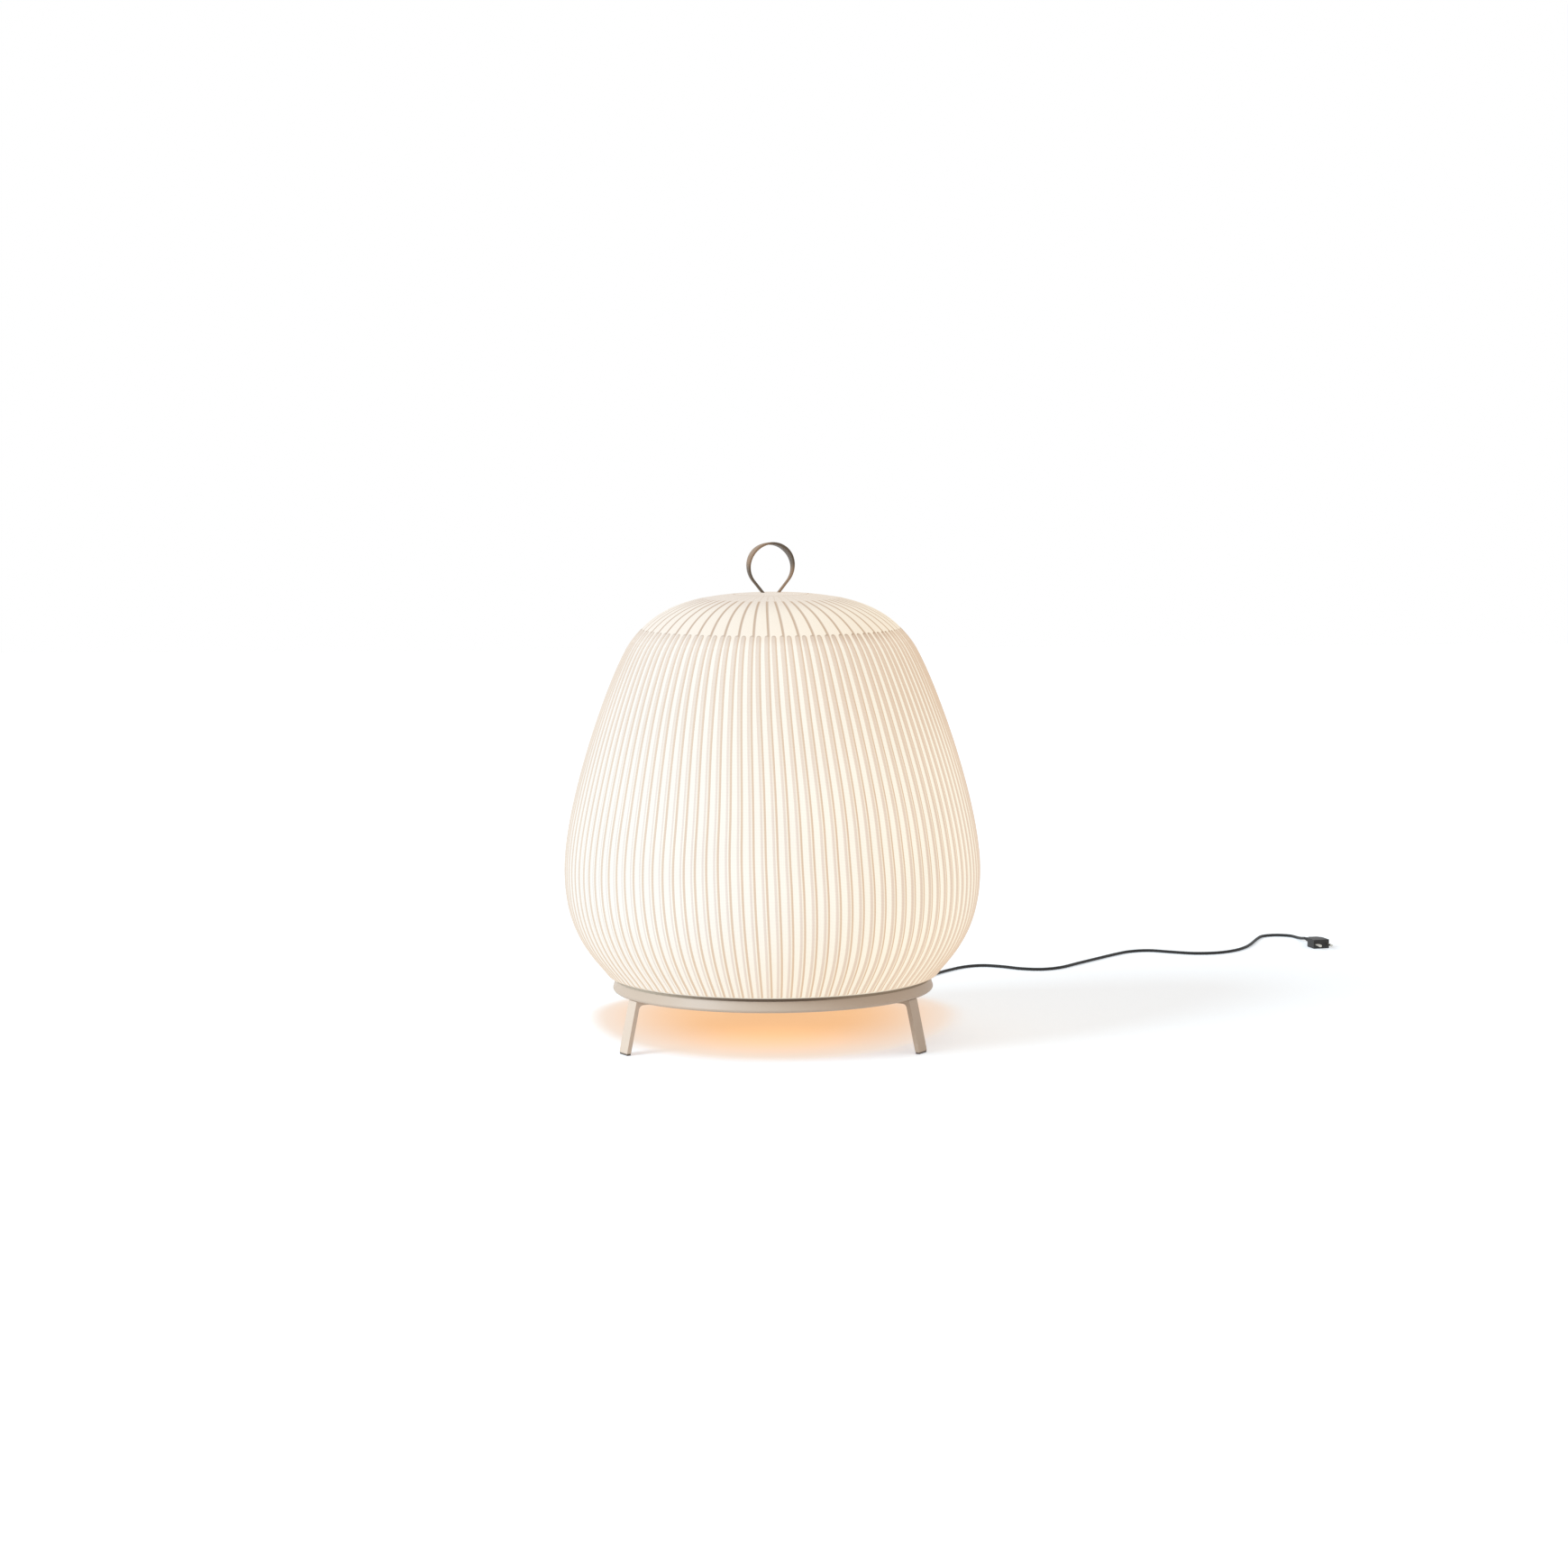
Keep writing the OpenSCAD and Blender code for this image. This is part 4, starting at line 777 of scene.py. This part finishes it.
# Paint: the fine grain and the slight cloudiness that all painted metal has
coat = {"grainScale": 1400, "cloudScale": 9, "bump": 0.25, "depth": 0.05}


def grainAndCloud(place):
    return place.noise(coat["grainScale"]), place.noise(coat["cloudScale"], 3)


def grainBump(grain):
    return grain.bump(coat["bump"], coat["depth"])


# Loop handle: a strap that is broad at the top of the loop and slim at its feet, its front
# edge turned to the left. Lengths are in millimetres and angles in degrees.
strap = {
    "middle": 649.6, "radius": 31.0, "foot": 7.3, "seat": 607.0, "thick": 3.0, "bend": 3.5,
    "turn": 16.0, "tip": 4.0, "heights": (-20, 0, 24), "widths": (6.5, 13.5, 24.0),
    "edge": 0.7, "roundness": 0.3, "topSteps": 72, "bendSteps": 8, "sideSteps": 12,
    # dark and pale are painted shade and painted light on the strap.
    "dark": (0.135, 0.10, 0.072, 1), "pale": (0.31, 0.20, 0.128, 1), "paleFrom": (-0.22, 0.30),
}


def onArc(middle, radius, angles):  # points, each with its outward direction
    x, z = middle
    return [(x + radius * math.cos(a), z + radius * math.sin(a), a) for a in angles]


def strapLine():  # in the loop's plane, once round from the right end of the top arc
    radius, foot, bend, half = strap["radius"], strap["foot"], strap["bend"], strap["thick"] / 2
    drop = strap["middle"] - strap["seat"]
    lean = math.asin((radius + half) / math.hypot(foot, drop)) - math.atan(foot / drop)
    touchX, touchZ = radius * math.cos(lean), -radius * math.sin(lean)
    bendZ = half - drop + bend
    bendX = touchX - (touchZ - bendZ) * math.tan(lean) - bend / math.cos(lean)
    top = onArc((0, 0), radius, np.linspace(-lean, math.pi + lean, strap["topSteps"]))
    lower = np.linspace(-math.pi / 2, -lean, strap["bendSteps"])
    right = onArc((bendX, bendZ), bend, lower)
    x, z, _ = right[-1]
    for t in np.linspace(0, 1, strap["sideSteps"])[1:-1]:
        right.append((x + (touchX - x) * t, z + (touchZ - z) * t, -lean))
    left = [(-x, z, math.pi - a) for x, z, a in reversed(right)]
    return top + left + right


def strapSection(width):  # across the strap and through it, once round, with rounded edges
    thick, edge = strap["thick"] / 2, strap["edge"]
    cut = strap["roundness"] * edge
    corner = [(width, thick - edge), (width - cut, thick - cut), (width - edge, thick)]
    half = corner + [(-w, t) for w, t in reversed(corner)]
    return half + [(-w, -t) for w, t in half]


def addStrap():
    tip = math.radians(strap["tip"])
    across, up = heading(strap["turn"]), Vector((0, 0, 1))
    through = heading(strap["turn"] + 90) * math.cos(tip) - up * math.sin(tip)
    rings = []
    for x, z, angle in strapLine():
        width = float(np.interp(z, strap["heights"], strap["widths"])) / 2
        out = across * math.cos(angle) + up * math.sin(angle)
        middle = across * x + up * (z + strap["middle"])
        rings.append([(middle + through * w + out * t) * mm for w, t in strapSection(width)])
    acrossUv = np.linspace(0, 1, len(rings[0]) + 1)
    alongUv = np.linspace(0, 1, len(rings) + 1)
    mesh = ringMesh("handle_strap", rings, acrossUv, alongUv, joined=True)
    surface = material("loopPaint", strapPaint)
    addPiece("handle_strap", mesh, surface, "loop_paint", "handle_loop")
    print("strap done", len(mesh.polygons))


def strapPaint(graph):  # satin paint, paler where the loop faces the upper left and lower right: painted light there, painted shade elsewhere
    place = graph.place()
    x, _, z = place.split()
    litFacing = x * (z - strap["middle"] * mm) / -((strap["radius"] * mm) ** 2)
    body = litFacing.ramp(*strap["paleFrom"]).mix(strap["dark"], strap["pale"])
    grain, cloud = grainAndCloud(place)
    mottle = grain * 0.6 + cloud * 0.4
    return {
        "Base Color": mottle.mix(body.times(0.93), body), "Roughness": grain * 0.1 + 0.42,
        "Specular IOR Level": 0.25, "Normal": grainBump(grain),
    }


addStrap()


# Finishes of the solids, by the record's material slots
def painted(colour, rough, shine=0.5):
    def describe(graph):
        grain, cloud = grainAndCloud(graph.place())
        mottle = (cloud + grain) * 0.5
        return {
            "Base Color": mottle.mix(scaled(colour, 0.95), colour),
            "Roughness": grain * 0.1 + rough, "Specular IOR Level": shine,
            "Normal": grainBump(grain),
        }
    return describe


def plain(colour, rough, grainScale, metallic=0.0, depth=0.05):
    def describe(graph):
        grain = graph.place().noise(grainScale, 3)
        return {
            "Base Color": grain.mix(scaled(colour, 0.9), colour),
            "Roughness": grain * 0.1 + rough, "Metallic": metallic,
            "Normal": grain.bump(0.2, depth),
        }
    return describe


def brushed(colour, rough, streakScale=160, squeeze=30):
    def describe(graph):
        x, y, z = graph.place().split()
        streak = graph.vector(x, y, z * squeeze).noise(streakScale, 3)
        return {
            "Base Color": streak.mix(scaled(colour, 0.86), colour),
            "Roughness": streak * 0.15 + rough, "Metallic": 1.0,
            "Normal": streak.bump(0.15, 0.03),
        }
    return describe


def glowing(colour, light, strength, cloudScale=40):
    def describe(graph):
        cloud = graph.place().noise(cloudScale)
        return {
            "Base Color": cloud.mix(scaled(colour, 0.95), colour), "Roughness": cloud * 0.1 + 0.45,
            "Emission Color": cloud.mix(scaled(light, 0.95), scaled(light, 1.05)),
            "Emission Strength": strength,
        }
    return describe


finishes = {
    "tray_paint": painted((0.56, 0.44, 0.345, 1), 0.42),
    # A paler copy of the paint: painted light from the left on this leg.
    "leg_front_left": painted((0.70, 0.56, 0.45, 1), 0.42),
    "loop_paint": painted((0.235, 0.155, 0.10, 1), 0.42, 0.25),
    "foot_pad": plain((0.16, 0.125, 0.10, 1), 0.7, 900, depth=0.08),
    "inner_steel": plain(tone(196, 196, 198), 0.32, 500, metallic=1.0),
    "column_aluminium": brushed(tone(214, 215, 217), 0.3),
    "plated_screw": plain(tone(190, 190, 188), 0.28, 900, metallic=1.0),
    "white_plastic": plain(tone(238, 237, 233), 0.42, 900),
    "opal_plastic": glowing(tone(250, 232, 206), (1.0, 0.62, 0.33, 1), 1.3),
    "white_board": plain(tone(232, 231, 224), 0.3, 600),
    "green_board": plain(tone(44, 108, 70), 0.3, 600),
    "black_plastic": plain(tone(38, 37, 37), 0.5, 1600, depth=0.08),
    "black_rubber": plain(tone(30, 30, 30), 0.7, 900, depth=0.08),
    "white_lead": plain(tone(228, 228, 226), 0.45, 400),
    "plug_brass": plain(tone(200, 196, 186), 0.22, 500, metallic=1.0),
}


def dressSolids():  # the front left leg has a paler paint of its own, painted light from the left, and the foot pads have a finish of their own
    made = {name: material(name, describe) for name, describe in finishes.items()}
    made["black_cord"], made["cream_knit"] = cordFinish, shellFinish
    for row in frame["record"]["subparts"]:
        solid = frame["nodes"][row["node"]]
        finish = row["node"] if row["node"] in made else row["material_slot"]
        if row["node"].startswith("foot_pad"):
            finish = "foot_pad"
        solid.data.materials.clear()
        solid.data.materials.append(made[finish])
    print("finishes done")


dressSolids()


# Stage: a pale floor with a painted warm pool of light under the lamp, a soft sky and one broad
# cool light from the left. Lengths are in metres.
studio = {
    "floor": 16.0, "floorHeight": -0.4 * mm, "floorColour": (0.85, 0.85, 0.85, 1),
    "floorLight": (0.338, 0.378, 0.425, 1), "sky": (0.64, 0.595, 0.54, 1),
    "key": (0.68, 0.86, 1.0), "keyPower": 2.45, "keySpread": 30, "keyTurn": -56, "keyHeight": 28,
    "lampPower": 0.04, "lampColour": (1.0, 0.55, 0.25), "lampSize": 0.18, "lampGap": 4 * mm,
}
paintedPool = {
    "middle": 0.23, "side": 0.325, "front": 0.49, "back": 0.30, "fade": (0.30, 1.05),
    "inside": (0.12, 0.38), "core": (0.87, 0.50, 0.25, 1), "edge": (0.82, 0.81, 0.79, 1),
    "floorColour": (0.12, 0.11, 0.10, 1),
}


def shownRays(graph):  # rays that show a thing, not those that light others
    rays = graph.node("ShaderNodeLightPath")
    bent = graph.calc("MAXIMUM", rays["Is Glossy Ray"], rays["Is Transmission Ray"])
    return graph.calc("MAXIMUM", rays["Is Camera Ray"], bent)


def floorMaterial():
    made = bpy.data.materials.new("paleFloor")
    graph = emptyGraph(made)
    x, y, _ = graph.place().split()
    # The pool is painted light: a warm glow in the floor's colour round the lamp, where the floor's
    # own colour is dimmed.
    behind = y - paintedPool["middle"]
    depth = behind.calc("MAXIMUM", behind / paintedPool["back"], behind / -paintedPool["front"])
    fromMiddle = ((x / paintedPool["side"]) ** 2 + depth * depth) ** 0.5
    paintedGlow = 1 - fromMiddle.ramp(*paintedPool["fade"])
    inside = paintedGlow.ramp(*paintedPool["inside"])
    floorColour = studio["floorColour"]
    pale = graph.node("ShaderNodeBsdfDiffuse", values={"Color": floorColour})
    dimmed = inside.mix(floorColour, paintedPool["floorColour"])
    light = inside.mix(studio["floorLight"], paintedGlow.mix(paintedPool["edge"], paintedPool["core"]))
    shown = graph.node("ShaderNodeAddShader", values={
        0: graph.node("ShaderNodeBsdfDiffuse", values={"Color": dimmed}),
        1: graph.node("ShaderNodeEmission", values={"Color": light}),
    })
    mixed = graph.node("ShaderNodeMixShader", values={0: shownRays(graph), 1: pale, 2: shown})
    graph.node("ShaderNodeOutputMaterial", values={"Surface": mixed})
    return made


def addFloor():
    half = studio["floor"] / 2
    corners = [(-half, -half, 0), (half, -half, 0), (half, half, 0), (-half, half, 0)]
    mesh = bpy.data.meshes.new("floor")
    mesh.from_pydata(corners, [], [(0, 1, 2, 3)])
    mesh.materials.append(floorMaterial())
    floor = addObject("floor", mesh)
    floor.location.z = studio["floorHeight"]


def addSky():  # white where it is seen, dimmer where it lights
    world = bpy.data.worlds.new("sky")
    bpy.context.scene.world = world
    graph = emptyGraph(world)
    dim = graph.node("ShaderNodeBackground", values={"Color": studio["sky"]})
    white = graph.node("ShaderNodeBackground", values={"Color": (1, 1, 1, 1)})
    mixed = graph.node("ShaderNodeMixShader", values={0: shownRays(graph), 1: dim, 2: white})
    graph.node("ShaderNodeOutputWorld", values={"Surface": mixed})


def addLights():
    key = bpy.data.lights.new("key", "SUN")
    key.energy, key.color = studio["keyPower"], studio["key"]
    key.angle = math.radians(studio["keySpread"])
    turn, height = math.radians(studio["keyTurn"]), math.radians(studio["keyHeight"])
    level = math.cos(height)
    way = Vector((math.sin(turn) * level, -math.cos(turn) * level, math.sin(height)))
    addObject("key", key).rotation_euler = way.to_track_quat("Z", "Y").to_euler()

    lamp = bpy.data.lights.new("downLight", "AREA")
    lamp.shape, lamp.size = "DISK", studio["lampSize"]
    lamp.energy, lamp.color = studio["lampPower"], studio["lampColour"]
    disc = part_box("glow_diffuser")[0]
    addObject("downLight", lamp).location = (0, 0, disc.z - studio["lampGap"])


addFloor()
addSky()
addLights()
bpy.context.scene.view_settings.view_transform = "Standard"
print("stage done")
